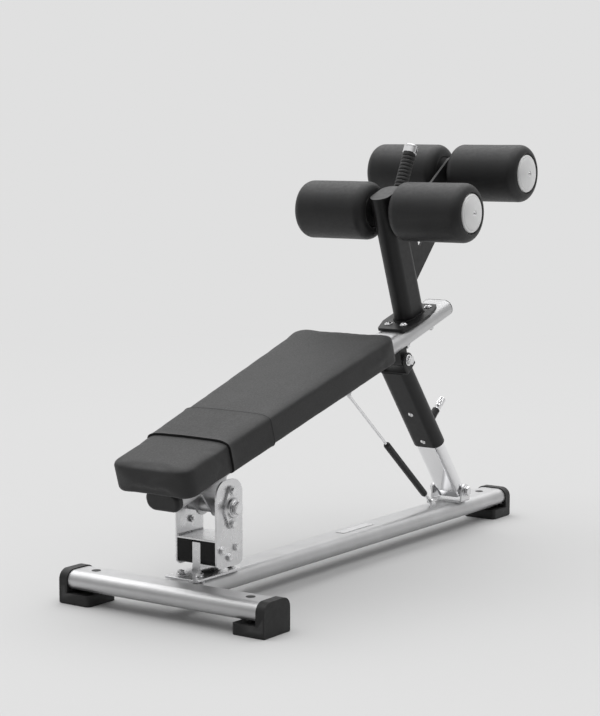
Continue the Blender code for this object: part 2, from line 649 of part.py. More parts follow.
def build_rollers():
    bore = AXLE_RADIUS + 0.0010
    edge = ROLLER_RADIUS - ROLLER_FILLET
    outside = arc((edge, ROLLER_LENGTH - ROLLER_FILLET), ROLLER_FILLET, 90, 0, 4)
    outside += arc((edge, ROLLER_FILLET), ROLLER_FILLET, 0, -90, 4)
    foam = turned("foam", outside + [(bore, 0), (bore, ROLLER_LENGTH)], 24)
    crown = DISC_RADIUS - DISC_RIM
    rise = DISC_DOME - DISC_RIM
    ball = (crown**2 + rise**2) / (2 * rise)
    reach = math.degrees(math.asin(crown / ball))
    dome = arc((0, DISC_DOME - ball), ball, 90, 90 - reach, 3)
    rim = arc((crown, 0), DISC_RIM, 60, 0, 2)
    disc = turned("disc", dome + rim + [(DISC_RADIUS, -GAP), (0, -GAP)], 24)
    for row, axle_at, inner in (("front", FRONT_AXLE, FRONT_INNER), ("rear", REAR_AXLE, REAR_INNER)):
        end = inner + ROLLER_LENGTH
        axle = rod("axle", AXLE_RADIUS, 2 * (end - GAP), 20)
        place(row + "_roller_axle", axle, ZINC, SEAT, (0, *axle_at), TO_RIGHT)
        for side, sign, facing in (("left", -1, TO_LEFT), ("right", 1, TO_RIGHT)):
            spin = empty(f"{row}_{side}_roller_axis", SEAT, (0, *axle_at))
            place(f"{row}_{side}_foam", foam, FOAM, spin, (sign * inner, 0, 0), facing)
            place(f"{row}_{side}_end_cap", disc, DISC, spin, (sign * (end + 2 * GAP), 0, 0), facing)


# ---------------------------------------------------------------- telescopic leg
LEG = empty("leg_foot_axis", BASE, (0, *LEG_FOOT), LEG_LEAN)


def build_leg():
    low, high = -0.012, 0.355
    tube = slab("inner", oval_outline(LEG_INNER), high - low, [oval_outline(LEG_INNER, -WALL)])
    inner = place("leg_inner_tube", tube, CHROME, LEG, (0, 0, (low + high) / 2))
    cut(inner, helper(rod("inner_bore", LEG_BOLT_RADIUS + GAP, 0.2, 16), LEG, (0, 0, 0), TO_RIGHT))
    for step in range(-4, 3):
        spot = (0, LEG_INNER[1] / 2, PIN_HEIGHT + step * HOLE_PITCH)
        cut(inner, helper(rod("lock_hole", PIN_RADIUS + 0.001, 0.012, 12), LEG, spot, TO_REAR))

    low, high = LEG_OUTER_START, LEG_OUTER_END
    tube = slab("outer", oval_outline(LEG_OUTER), high - low, [oval_outline(LEG_OUTER, -WALL)])
    outer = place("leg_outer_tube", tube, BLACK_PAINT, LEG, (0, 0, (low + high) / 2))
    thick = 0.006
    lid = block("leg_lid", LEG_OUTER[0] - 0.001, 0.048, thick)
    x = LEG_OUTER[0] / 2 - thick / 2
    ear = slab("leg_ear", hull([(0, LEG_LENGTH, 0.022)], [(-0.0239, high), (0.0239, high)]), thick)
    collar = rod("pin_collar", 0.0115, PIN_COLLAR_END - 0.0235, 16)
    weld(outer, helper(lid, LEG, (0, 0, high)), helper(ear, LEG, (x, 0, 0), SIDE),
         helper(ear, LEG, (-x, 0, 0), SIDE),
         helper(collar, LEG, (0, (PIN_COLLAR_END + 0.0235) / 2, PIN_HEIGHT), TO_REAR))
    bore = rod("leg_top_bore", LEG_BOLT_RADIUS + GAP, 0.2, 16)
    slide = rod("pin_bore", PIN_RADIUS + GAP, 0.090, 14)
    cut(outer, helper(bore, LEG, (0, 0, LEG_LENGTH), TO_RIGHT),
        helper(slide, LEG, (0, 0.060, PIN_HEIGHT), TO_REAR))
    face = LEG_OUTER[0] / 2 + GAP
    place("leg_top_bolt", bolt("top_bolt", LEG_BOLT_RADIUS, 0.024, 0.010, 2 * face, 0.0025, nut=True), ZINC,
          LEG, (face, 0, LEG_LENGTH), TO_RIGHT)
    bush = slab("bush", oval_outline(LEG_OUTER, -WALL - GAP), 0.036, [oval_outline(LEG_INNER, GAP)])
    place("leg_guide_bush", bush, PLASTIC, LEG, (0, 0, LEG_OUTER_START + 0.0195))

    tip = LEG_INNER[1] / 2 + GAP
    knob, end = 0.0985, 0.133
    pin = [(0, end), (0.009, end), (0.011, end - 0.002), (0.011, knob + 0.002), (0.009, knob),
           (PIN_RADIUS, knob), (PIN_RADIUS, tip), (0, tip)]
    place("pop_pin", turned("pin", pin, 14), CHROME, LEG, (0, 0, PIN_HEIGHT), TO_REAR)


# ---------------------------------------------------------------- gas spring
GAS = empty("gas_foot_axis", BASE, (0, *GAS_FOOT), GAS_LEAN)


def build_gas_spring():
    low, high = GAS_BODY
    cylinder = rod("gas_body", GAS_RADIUS, high - low, 16)
    body = place("gas_cylinder", cylinder, BLACK_PAINT, GAS, (0, 0, (low + high) / 2))
    neck = rod("gas_neck", 0.005, low + 0.004, 10)
    eye = rod("gas_eye", 0.009, 0.008, 16)
    weld(body, helper(neck, GAS, (0, 0, low / 2 + 0.002)), helper(eye, GAS, (0, 0, 0), TO_RIGHT))
    eye_bore = rod("gas_eye_bore", GAS_ROD_RADIUS + GAP, 0.02, 12)
    depth = high - 0.120
    bore = rod("gas_bore", GAS_ROD_RADIUS + 2 * GAP, depth + 0.02, 14)
    cut(body, helper(eye_bore, GAS, (0, 0, 0), TO_RIGHT), helper(bore, GAS, (0, 0, high - depth / 2 + 0.01)))
    start = 0.205
    stem = rod("gas_stem", GAS_ROD_RADIUS, GAS_LENGTH - start, 12)
    rod_piece = place("gas_rod", stem, CHROME, GAS, (0, 0, (GAS_LENGTH + start) / 2))
    top_eye = rod("gas_top_eye", GAS_ROD_RADIUS + GAS_PLAY + 0.003, 0.008, 16)
    weld(rod_piece, helper(top_eye, GAS, (0, 0, GAS_LENGTH), TO_RIGHT))
    bore = rod("gas_top_bore", GAS_ROD_RADIUS + GAS_PLAY, 0.02, 16)
    cut(rod_piece, helper(bore, GAS, (0, 0, GAS_LENGTH), TO_RIGHT))


SPINE, SPINE_TOP = build_base()
BORES = build_pedestal(SPINE, SPINE_TOP)
BEARING_FACE = build_cradle(BORES)
build_leg_foot(SPINE_TOP)
FRAME = build_seat_frame(BEARING_FACE)
build_pad()
build_post(FRAME)
build_gusset()
build_rollers()
build_leg()
build_gas_spring()
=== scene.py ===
"""Looks of the decline sit-up bench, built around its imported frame.

Each piece is modelled in the axes of what carries it: the base, the seat, the leg, the gas spring or a roller.
Those axes come from the frame's joints. Metres throughout.
"""

import json
import math

import bmesh
import bpy
import numpy as np
from mathutils import Matrix, Vector, noise
from mathutils.geometry import convex_hull_2d


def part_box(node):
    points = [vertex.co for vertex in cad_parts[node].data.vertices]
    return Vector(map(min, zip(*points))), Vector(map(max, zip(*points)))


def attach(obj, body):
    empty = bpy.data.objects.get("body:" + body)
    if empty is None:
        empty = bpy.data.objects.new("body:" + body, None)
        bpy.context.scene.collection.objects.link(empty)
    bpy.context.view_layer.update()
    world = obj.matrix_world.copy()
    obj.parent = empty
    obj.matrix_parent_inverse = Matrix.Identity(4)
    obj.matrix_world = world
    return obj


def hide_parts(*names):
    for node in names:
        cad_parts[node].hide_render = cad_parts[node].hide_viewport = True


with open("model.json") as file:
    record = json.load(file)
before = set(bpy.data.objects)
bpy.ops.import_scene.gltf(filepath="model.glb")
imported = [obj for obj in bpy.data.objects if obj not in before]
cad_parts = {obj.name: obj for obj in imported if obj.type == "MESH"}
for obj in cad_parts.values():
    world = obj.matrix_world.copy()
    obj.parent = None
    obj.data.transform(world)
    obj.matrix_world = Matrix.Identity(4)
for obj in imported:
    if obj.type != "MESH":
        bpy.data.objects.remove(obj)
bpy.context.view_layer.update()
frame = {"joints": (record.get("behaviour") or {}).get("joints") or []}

GAP = 0.0003

# ---------------------------------------------------------------- axes, read from the frame
JOINTS = {joint["name"]: joint for joint in frame["joints"]}
AXLES = {"front": (0.9968, 0.4479), "rear": (1.3598, 0.4463)}  # along the seat and away from it


def at(x=0.0, y=0.0, z=0.0):
    return Matrix.Translation((x, y, z))


def spun(angle, axis="Z"):
    return Matrix.Rotation(angle, 4, axis)


def middle(node):
    low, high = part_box(node)
    return (low + high) / 2


def tilted(origin, angle):
    return at(*origin) @ spun(angle, "X")


def along_slide(hinge, slide):
    """Axes at a hinge with +Z along a slide joint."""
    axis = JOINTS[slide]["axis"]
    return tilted(JOINTS[hinge]["pos_m"], math.atan2(-axis[1], axis[2]))


def seat_angle():
    front = Vector(JOINTS["front_left_roller_spin"]["pos_m"])
    rear = Vector(JOINTS["rear_left_roller_spin"]["pos_m"])
    along, away = (b - a for a, b in zip(AXLES["front"], AXLES["rear"]))
    return math.atan2(rear.z - front.z, rear.y - front.y) - math.atan2(away, along)


BASE = at(y=middle("front_cross_tube").y)
SEAT = tilted(JOINTS["seat_tilt"]["pos_m"], seat_angle())
LEG = along_slide("leg_swing", "leg_slide")
GAS = along_slide("gas_swing", "gas_slide")

# ---------------------------------------------------------------- sizes shared by several pieces
WALL = 0.003
BASE_TUBE = (0.100, 0.050)
BASE_Z = middle("front_cross_tube").z
BASE_TOP = BASE_Z + BASE_TUBE[1] / 2
SEAT_TUBE = (0.102, 0.050)
SEAT_TOP = 0.112
SEAT_MID = SEAT_TOP - SEAT_TUBE[1] / 2
SEAT_ENDS = (-0.154, 1.1757)
LEG_LUG = (0.9004, 0.034)
GAS_LUG = (0.654, 0.035)
AXLE_RADIUS = 0.0125
AXLE_BORE = AXLE_RADIUS + GAP
PIN_RADIUS = 0.008
PIN_BORE = PIN_RADIUS + GAP
PIVOT = (0.158, 0.257)
CHEEK_X = 0.0605
CHEEK_THICK = 0.005
CHEEK_Y = 0.1537
CHEEK_OUT = CHEEK_X + CHEEK_THICK + GAP
POST = (0.060, 0.106)
POST_ENDS = ((1.0213, 0.121), (0.9963, 0.502))
POST_TILT = math.atan2(POST_ENDS[0][0] - POST_ENDS[1][0], POST_ENDS[1][1] - POST_ENDS[0][1])
POST_LONG = math.dist(*POST_ENDS)
INNER = {"front": 0.0425, "rear": 0.022}  # from the middle plane to the inner ends of the rollers
ROLLER = (0.083, 0.234, 0.027)  # radius, length, radius of the rounded ends
PAD_ENDS = (-0.208, 0.710)
PAD_Z = (0.119, 0.197)
PAD_HALF = (0.1212, 0.1660)
PAD_INSET = 0.0022
PAD_CAP = 0.0045
PAD_UNDER = 0.1196
SLEEVE = (-0.035, 0.131)
CLOTH_FRAMES = 20
LEG_OUTER = (0.100, 0.050)
LEG_INNER = (0.090, 0.040)
LEG_TOP = (Vector(JOINTS["leg_swing"]["pos_m"]) - SEAT @ Vector((0, *LEG_LUG))).length
GAS_TOP = (Vector(JOINTS["gas_swing"]["pos_m"]) - SEAT @ Vector((0, *GAS_LUG))).length

# ---------------------------------------------------------------- directions
UPRIGHT = spun(math.pi / 2, "X")  # outline in X and Z
SIDE = spun(math.pi / 2) @ UPRIGHT  # outline in Y and Z
TO_RIGHT = spun(math.pi / 2, "Y")
TO_LEFT = spun(-math.pi / 2, "Y")
TO_REAR = spun(-math.pi / 2, "X")
TO_FRONT = UPRIGHT


# ---------------------------------------------------------------- outlines
def arc(centre, radius, start, end, steps):
    angles = [math.radians(start + (end - start) * i / steps) for i in range(steps + 1)]
    return [(centre[0] + radius * math.cos(a), centre[1] + radius * math.sin(a)) for a in angles]


def rounded(corners, radii, steps=8):
    """A closed outline through the corners, each one rounded off by an arc of its own radius."""
    outline = []
    for i, corner in enumerate(corners):
        here = Vector(corner)
        before = (Vector(corners[i - 1]) - here).normalized()
        after = (Vector(corners[(i + 1) % len(corners)]) - here).normalized()
        if radii[i] == 0:
            outline.append(tuple(here))
            continue
        half = before.angle(after) / 2
        centre = here + (before + after).normalized() * radii[i] / math.sin(half)
        reach = radii[i] / math.tan(half)
        first, last = here + before * reach - centre, here + after * reach - centre
        start = math.degrees(math.atan2(first.y, first.x))
        turn = math.degrees(math.atan2(last.y, last.x)) - start
        outline += arc(centre, radii[i], start, start + (turn + 180) % 360 - 180, steps)
    return [p for i, p in enumerate(outline) if math.dist(p, outline[i - 1]) > 0.000005]


def box_outline(width, height, radius, steps=8):
    x, y = width / 2, height / 2
    return rounded([(-x, -y), (x, -y), (x, y), (-x, y)], [radius] * 4, steps)


def oval(size, grow=0.0, steps=14):
    width, height = size[0] + 2 * grow, size[1] + 2 * grow
    return box_outline(width, height, min(width, height) / 2, steps)


def hull(circles, points=()):
    cloud = [p for y, z, r in circles for p in arc((y, z), r, 0, 355, 71)] + list(points)
    return [cloud[i] for i in convex_hull_2d(cloud)]


def circle(radius, centre=(0, 0), steps=40):
    return arc(centre, radius, 0, 360 - 360 / steps, steps - 1)


# ---------------------------------------------------------------- mesh building
def soften(bm, width, segments=2, angle=30):
    """Round off every edge sharper than angle."""
    if width:
        limit = math.radians(angle)
        edges = [e for e in bm.edges if len(e.link_faces) == 2 and e.calc_face_angle(0) > limit]
        bmesh.ops.bevel(bm, geom=edges, offset=width, segments=segments, profile=0.5, affect="EDGES",
                        clamp_overlap=True)
    return bm


def slab(outline, depth, holes=(), edge=0.0, segments=2):
    """A flat plate centred on its plane, with holes and softened edges."""
    curve = bpy.data.curves.new("slab", "CURVE")
    curve.dimensions = "2D"
    curve.fill_mode = "BOTH"
    curve.extrude = depth / 2
    for points in (outline, *holes):
        spline = curve.splines.new("POLY")
        spline.points.add(len(points) - 1)
        spline.use_cyclic_u = True
        for target, (x, y) in zip(spline.points, points):
            target.co = (x, y, 0, 1)
    holder = bpy.data.objects.new("slab", curve)
    bpy.context.scene.collection.objects.link(holder)
    bm = evaluated(holder)
    bpy.data.curves.remove(curve)
    bmesh.ops.remove_doubles(bm, verts=bm.verts, dist=0.000002)
    bmesh.ops.dissolve_limit(bm, angle_limit=0.005, verts=bm.verts, edges=bm.edges)
    bmesh.ops.recalc_face_normals(bm, faces=bm.faces)
    return soften(bm, edge, segments)


def evaluated(holder):
    bpy.context.view_layer.update()
    made = bpy.data.meshes.new_from_object(holder.evaluated_get(bpy.context.evaluated_depsgraph_get()))
    bm = bmesh.new()
    bm.from_mesh(made)
    bm.transform(holder.matrix_world)
    bpy.data.meshes.remove(made)
    bpy.data.objects.remove(holder)
    return bm


def holder_of(bm, name="holder"):
    mesh = bpy.data.meshes.new(name)
    bmesh.ops.recalc_face_normals(bm, faces=bm.faces)
    bm.to_mesh(mesh)
    bm.free()
    holder = bpy.data.objects.new(name, mesh)
    bpy.context.scene.collection.objects.link(holder)
    return holder


def carve(bm, *tools, operation="DIFFERENCE"):
    holder = holder_of(bm)
    others = [holder_of(tool) for tool in tools]
    for other in others:
        modifier = holder.modifiers.new("carve", "BOOLEAN")
        modifier.operation = operation
        modifier.solver = "EXACT"
        modifier.object = other
    made = evaluated(holder)
    for other in others:
        bpy.data.objects.remove(other)
    bmesh.ops.remove_doubles(made, verts=made.verts, dist=0.000002)
    return made


def fuse(bm, *tools):
    return carve(bm, *tools, operation="UNION")


def moved(bm, *matrices):
    for matrix in reversed(matrices):
        bm.transform(matrix)
    return bm


def together(*parts):
    """Several closed shells in one mesh."""
    bm = bmesh.new()
    for part in parts:
        mesh = bpy.data.meshes.new("part")
        part.to_mesh(mesh)
        part.free()
        bm.from_mesh(mesh)
        bpy.data.meshes.remove(mesh)
    return bm


def block(size, edge):
    """A softened box centred on its axes."""
    bm = bmesh.new()
    bmesh.ops.create_cube(bm, size=1)
    bm.transform(Matrix.Diagonal((*size, 1)))
    return soften(bm, edge)


def rod(radius, length, edge=0.0, steps=40, top=None):
    """A cylinder from z = 0 up, its rims softened."""
    bm = bmesh.new()
    bmesh.ops.create_cone(bm, cap_ends=True, segments=steps, radius1=radius, radius2=radius if top is None else top,
                          depth=length)
    bm.transform(at(z=length / 2))
    return soften(bm, edge, 2, 50)


def prism(flats, length, edge=0.0008):
    bm = rod(flats / math.sqrt(3), length, 0, 6)
    rims = [e for e in bm.edges if abs(e.verts[0].co.z - e.verts[1].co.z) < 1e-6]
    bmesh.ops.bevel(bm, geom=rims, offset=edge, segments=2, profile=0.5, affect="EDGES")
    return bm


def turned(profile, steps=64):
    """A turned solid from its profile of (radius, z)."""
    bm = bmesh.new()
    verts = [bm.verts.new((r, 0, z)) for r, z in profile]
    edges = [bm.edges.new(pair) for pair in zip(verts, verts[1:])]
    if profile[0][0] > 0:
        edges.append(bm.edges.new((verts[-1], verts[0])))
    bmesh.ops.spin(bm, geom=verts + edges, axis=(0, 0, 1), cent=(0, 0, 0), dvec=(0, 0, 0),
                   angle=math.tau, steps=steps, use_merge=True)
    bmesh.ops.remove_doubles(bm, verts=bm.verts, dist=0.00001)
    bmesh.ops.recalc_face_normals(bm, faces=bm.faces)
    return bm


def bead(points, radius=0.002, ripple=0.0005, pitch=0.004, cyclic=True):
    """A weld bead: a wire whose thickness ripples along its length."""
    dense = []
    count = len(points)
    for i in range(count if cyclic else count - 1):
        start, end = Vector(points[i]), Vector(points[(i + 1) % count])
        pieces = max(1, round((end - start).length / (pitch / 4)))
        dense += [start.lerp(end, k / pieces) for k in range(pieces)]
    curve = bpy.data.curves.new("bead", "CURVE")
    curve.dimensions = "3D"
    curve.bevel_depth = radius
    curve.bevel_resolution = 2
    spline = curve.splines.new("POLY")
    spline.points.add(len(dense) - 1)
    spline.use_cyclic_u = cyclic
    curve.use_fill_caps = not cyclic
    run = 0.0
    for i, (target, point) in enumerate(zip(spline.points, dense)):
        target.co = (*point, 1)
        target.radius = 1 + ripple / radius * math.sin(math.tau * run / pitch)
        run += (dense[(i + 1) % len(dense)] - point).length
    holder = bpy.data.objects.new("bead", curve)
    bpy.context.scene.collection.objects.link(holder)
    bm = evaluated(holder)
    bpy.data.curves.remove(curve)
    bmesh.ops.remove_doubles(bm, verts=bm.verts, dist=0.000002)
    return bm


def seam(start, end, radius, ripple=0.0005):
    """A straight weld bead between two points."""
    return bead([start, end], radius, ripple, cyclic=False)


def piece(name, bm, axes, material, body, *replaced, smooth=32, weighted=True):
    """Make bm a piece of the bench in the given axes, riding on a body."""
    mesh = bpy.data.meshes.new(name)
    bmesh.ops.recalc_face_normals(bm, faces=bm.faces)
    bm.to_mesh(mesh)
    bm.free()
    mesh.materials.append(material)
    mesh.shade_smooth()
    mesh.set_sharp_from_angle(angle=math.radians(smooth))
    made = bpy.data.objects.new(name, mesh)
    bpy.context.scene.collection.objects.link(made)
    made.matrix_world = axes
    if weighted:
        normals = made.modifiers.new("weighted_normals", "WEIGHTED_NORMAL")
        normals.keep_sharp = True
    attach(made, body)
    if replaced:
        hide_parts(*replaced)
    return made


# ---------------------------------------------------------------- materials
class Graph:
    """Adds nodes to a node tree. An input is a plain value or another node's output."""

    def __init__(self, tree):
        self.nodes, self.links = tree.nodes, tree.links

    def add(self, kind, inputs=None, **settings):
        node = self.nodes.new("ShaderNode" + kind)
        for key, value in settings.items():
            setattr(node, key, value)
        self.set(node, inputs or {})
        return node

    def set(self, node, inputs):
        for key, value in inputs.items():
            socket = node.inputs[key]
            if isinstance(value, bpy.types.NodeSocket):
                self.links.new(value, socket)
            else:
                socket.default_value = value

    def ranged(self, value, low, high, start=0.3, end=0.7, **settings):
        return self.add("MapRange", {"Value": value, "From Min": start, "From Max": end, "To Min": low,
                                     "To Max": high}, **settings).outputs["Result"]


class Shader(Graph):
    """A Principled material with a few nodes. Texture places are the piece's own coordinates, in metres."""

    def __init__(self, name, slot, colour, roughness, metallic=0.0, **inputs):
        self.material = bpy.data.materials.new(name)
        self.material.use_nodes = True
        self.material["slot"] = slot
        super().__init__(self.material.node_tree)
        self.surface = self.nodes["Principled BSDF"]
        self.place = self.add("TexCoord").outputs["Object"]
        self.set(self.surface, {"Base Color": (*colour, 1), "Roughness": roughness, "Metallic": metallic, **inputs})
        self.colour = colour
        self.bump_normal = None

    def noise(self, scale, detail=3.0, stretch=(1, 1, 1)):
        mapped = self.add("Mapping", {"Vector": self.place, "Scale": stretch}).outputs["Vector"]
        return self.add("TexNoise", {"Vector": mapped, "Scale": scale, "Detail": detail}).outputs["Fac"]

    def cells(self, scale):
        return self.add("TexVoronoi", {"Vector": self.place, "Scale": scale}).outputs["Distance"]

    def mix(self, factor, first, second):
        """Blend two colours into the surface's colour."""
        mixed = self.add("Mix", {"Factor": factor, 6: first, 7: second}, data_type="RGBA")
        self.links.new(mixed.outputs[2], self.surface.inputs["Base Color"])

    def vary_colour(self, value, darker, lighter):
        """Mix the colour between two multiples of itself."""
        low, high = ((*[c * share for c in self.colour], 1) for share in (darker, lighter))
        self.mix(self.ranged(value, 0, 1), low, high)

    def vary_roughness(self, value, low, high):
        self.set(self.surface, {"Roughness": self.ranged(value, low, high)})

    def bump(self, height, distance, strength):
        inputs = {"Height": height, "Distance": distance, "Strength": strength}
        if self.bump_normal:
            inputs["Normal"] = self.bump_normal
        self.bump_normal = self.add("Bump", inputs).outputs["Normal"]
        self.set(self.surface, {"Normal": self.bump_normal})

    def worn_edges(self, radius, colour, amount):
        """Lighten the sharp edges, broken up by noise."""
        rounded_normal = self.add("Bevel", {"Radius": radius}, samples=4).outputs["Normal"]
        flat_normal = self.add("NewGeometry").outputs["Normal"]
        match = self.add("VectorMath", {0: rounded_normal, 1: flat_normal}, operation="DOT_PRODUCT")
        edge = self.ranged(match.outputs["Value"], amount, 0.0, 0.80, 0.985)
        broken = self.add("Math", {0: edge, 1: self.ranged(self.noise(90, 4), 0.0, 1.0, 0.42, 0.62)},
                          operation="MULTIPLY").outputs["Value"]
        self.mix(broken, self.surface.inputs["Base Color"].links[0].from_socket, (*colour, 1))


def satin_steel(name, stretch):
    """Silver satin tube, brushed along the direction whose stretch is small."""
    s = Shader(name, "satin_steel", (0.58, 0.58, 0.585), 0.42, 0.92)
    streaks = s.noise(900, 3, stretch)
    s.vary_colour(s.noise(14, 3), 0.95, 1.04)
    s.vary_roughness(s.noise(260, 3, stretch), 0.38, 0.46)
    s.bump(streaks, 0.00002, 0.5)
    s.bump(s.noise(2200, 2), 0.00001, 0.6)
    return s.material


def zinc(name, slot, colour=0.72, rough=(0.22, 0.36)):
    s = Shader(name, slot, (colour, colour, colour * 1.01), 0.28, 1.0)
    s.vary_colour(s.noise(14, 3), 0.975, 1.015)
    s.vary_roughness(s.noise(40, 2), *rough)
    s.bump(s.noise(60, 2), 0.000010, 0.3)
    return s.material


def chrome():
    s = Shader("chrome_plate", "chrome", (0.88, 0.88, 0.89), 0.07, 1.0)
    s.vary_roughness(s.noise(60, 5), 0.045, 0.11)
    s.bump(s.noise(24, 2), 0.000008, 0.3)
    return s.material


def black_paint():
    s = Shader("black_powder_coat", "black_paint", (0.013, 0.013, 0.0135), 0.42, **{"Specular IOR Level": 0.38})
    s.vary_colour(s.noise(8, 3), 0.8, 1.25)
    s.vary_roughness(s.noise(70, 4), 0.38, 0.48)
    s.bump(s.noise(1300, 2), 0.00006, 0.6)
    s.worn_edges(0.0012, (0.05, 0.05, 0.05), 0.4)
    return s.material


def rubber(name, slot, colour, rough=(0.55, 0.68)):
    s = Shader(name, slot, (colour, colour, colour), 0.6, **{"Specular IOR Level": 0.35})
    s.vary_colour(s.noise(25, 4), 0.8, 1.25)
    s.vary_roughness(s.noise(90, 4), *rough)
    s.bump(s.noise(1800, 2), 0.00008, 0.5)
    s.bump(s.noise(260, 3), 0.00005, 0.4)
    return s.material


def plastic():
    s = Shader("black_plastic", "black_plastic", (0.016, 0.016, 0.0165), 0.45, **{"Specular IOR Level": 0.4})
    s.vary_colour(s.noise(30, 3), 0.85, 1.2)
    s.vary_roughness(s.noise(100, 3), 0.40, 0.52)
    s.bump(s.cells(2600), 0.00004, 0.5)
    return s.material


def vinyl(name, slot, colour):
    """Grained upholstery vinyl: pebbles with creases between, pores and long soft wrinkles."""
    s = Shader(name, slot, (colour, colour, colour * 1.01), 0.58, **{"Specular IOR Level": 0.30})
    warp = s.add("TexNoise", {"Vector": s.place, "Scale": 160.0, "Detail": 2.0}).outputs["Color"]
    shifted = s.add("VectorMath", {0: warp, "Scale": 0.0016}, operation="SCALE").outputs["Vector"]
    bent = s.add("VectorMath", {0: s.place, 1: shifted}, operation="ADD").outputs["Vector"]
    pebble = s.add("TexVoronoi", {"Vector": bent, "Scale": 620.0}, feature="DISTANCE_TO_EDGE").outputs["Distance"]
    grain = s.ranged(pebble, 0, 1, 0.0, 0.28)
    s.vary_colour(s.noise(7, 4), 0.90, 1.10)
    s.vary_roughness(s.noise(200, 4), 0.48, 0.62)
    s.bump(grain, 0.00012, 0.55)
    s.bump(s.noise(3000, 2), 0.00003, 0.4)
    s.bump(s.noise(16, 3, (1, 0.5, 1)), 0.0009, 0.25)
    return s.material


def foam():
    """Skinned foam: fine pores and faint broad bumps."""
    s = Shader("foam_skin", "roller_foam", (0.021, 0.021, 0.0215), 0.5, **{"Specular IOR Level": 0.42})
    s.vary_colour(s.noise(18, 4), 0.88, 1.12)
    s.vary_roughness(s.noise(120, 4), 0.43, 0.56)
    s.bump(s.ranged(s.cells(1500), 0, 1, 0.1, 0.6), 0.00007, 0.45)
    s.bump(s.noise(40, 3), 0.0005, 0.25)
    return s.material


def disc_metal():
    """Satin aluminium turned on a lathe: fine rings about the local Z axis."""
    s = Shader("disc_aluminium", "disc_aluminium", (0.86, 0.86, 0.86), 0.42, 0.25)
    parts = s.add("SeparateXYZ", {"Vector": s.place})
    squares = [s.add("Math", {0: parts.outputs[axis], 1: parts.outputs[axis]}, operation="MULTIPLY").outputs["Value"]
               for axis in ("Y", "Z")]
    radius = s.add("Math", {0: s.add("Math", {0: squares[0], 1: squares[1]}, operation="ADD").outputs["Value"]},
                   operation="SQRT").outputs["Value"]
    ring_place = s.add("CombineXYZ", {"X": radius}).outputs["Vector"]
    rings = s.add("TexNoise", {"Vector": ring_place, "Scale": 1400.0, "Detail": 3.0}).outputs["Fac"]
    s.vary_colour(s.noise(30, 3), 0.96, 1.04)
    s.vary_roughness(rings, 0.36, 0.48)
    s.bump(rings, 0.00002, 0.5)
    return s.material


TUBE_X = satin_steel("satin_steel_x", (0.02, 1, 1))
TUBE_Y = satin_steel("satin_steel_y", (1, 0.02, 1))
ZINC = zinc("zinc_plate", "zinc_plate", 0.74)
BOLT = zinc("zinc_fastener", "zinc_fastener", 0.78, (0.16, 0.30))
CHROME = chrome()
PAINT = black_paint()
FOOT = rubber("foot_rubber", "foot_rubber", 0.015, (0.44, 0.56))
MOUNT = rubber("mount_rubber", "mount_rubber", 0.006)
GRIP = rubber("grip_rubber", "grip_rubber", 0.030, (0.42, 0.55))
PLASTIC = plastic()
VINYL = vinyl("pad_vinyl", "pad_vinyl", 0.038)
SLEEVE_VINYL = vinyl("sleeve_vinyl", "sleeve_vinyl", 0.036)
FOAM = foam()
DISC = disc_metal()
PLATE = zinc("plate_aluminium", "plate_aluminium", 0.74, (0.30, 0.42))


# ---------------------------------------------------------------- fasteners, seated at z = 0 and pointing up
def thread(radius, length, pitch=0.0015):
    """The bare end of a threaded shank, from z = 0 down."""
    turns = int(length / pitch)
    profile = [(0, 0), (radius, 0)]
    for i in range(turns):
        profile += [(radius * 0.86, -(i + 0.5) * pitch), (radius, -(i + 1) * pitch)]
    return turned(profile + [(radius * 0.7, -length - pitch * 0.4), (0, -length - pitch * 0.4)], 24)


def washer(radius, hole, thick):
    r = thick * 0.3
    return turned([(radius - r, thick), (radius, thick - r), (radius, r), (radius - r, 0), (hole, 0),
                   (hole, thick)], 40)


def hex_head(flats, height, washer_thick=0.0, washer_radius=None):
    """A hex head with its turned face and a shallow dish on top, over an optional washer."""
    head = prism(flats, height * 0.94, flats * 0.055)
    crown = turned([(0, height * 0.965), (flats * 0.30, height * 0.965), (flats * 0.36, height),
                    (flats * 0.40, height), (flats * 0.44, height * 0.95), (flats * 0.44, height * 0.5),
                    (0, height * 0.5)], 40)
    parts = [moved(head, at(z=washer_thick)), moved(crown, at(z=washer_thick))]
    if washer_thick:
        parts.append(washer(washer_radius or flats * 0.68, flats * 0.25, washer_thick))
    return together(*parts)


def hex_nut(flats, height, shank, tail=0.003):
    """A nut pointing down from z = 0, with the end of its bolt."""
    body = moved(prism(flats, height, flats * 0.05), at(z=-height))
    return together(body, moved(thread(shank, tail), at(z=-height)))


def through_bolt(flats, height, shank, washer_thick, face, turn, tail=0.003):
    """A bolt along X: its head on the right face, its washer and nut on the left one."""
    head = moved(hex_head(flats, height, washer_thick), at(face), TO_RIGHT, spun(turn))
    under = moved(washer(round(flats * 0.68, 4), shank, washer_thick), at(z=-washer_thick))
    far = moved(together(hex_nut(flats, height, shank, tail), under), at(-face), TO_RIGHT)
    return together(head, far, moved(rod(shank, 2 * face), at(-face), TO_RIGHT))


def button_head(radius, height, washer_thick=0.0015):
    """A domed head with a hex socket, over a washer."""
    ball = (radius**2 + height**2) / (2 * height)
    reach = math.degrees(math.asin(radius / ball))
    dome = arc((0, height - ball), ball, 90, 90 - reach, 10)
    socket = moved(prism(radius * 0.95, height, 0.0), at(z=height * 0.42))
    head = carve(turned(dome + [(radius, -0.0005), (0, -0.0005)], 40), socket)
    return together(moved(head, at(z=washer_thick)), washer(radius * 1.18, radius * 0.5, washer_thick))


# ---------------------------------------------------------------- base
def tube(size, length, edge=0.0006):
    return slab(oval(size), length, [oval(size, -WALL)], edge, 2)


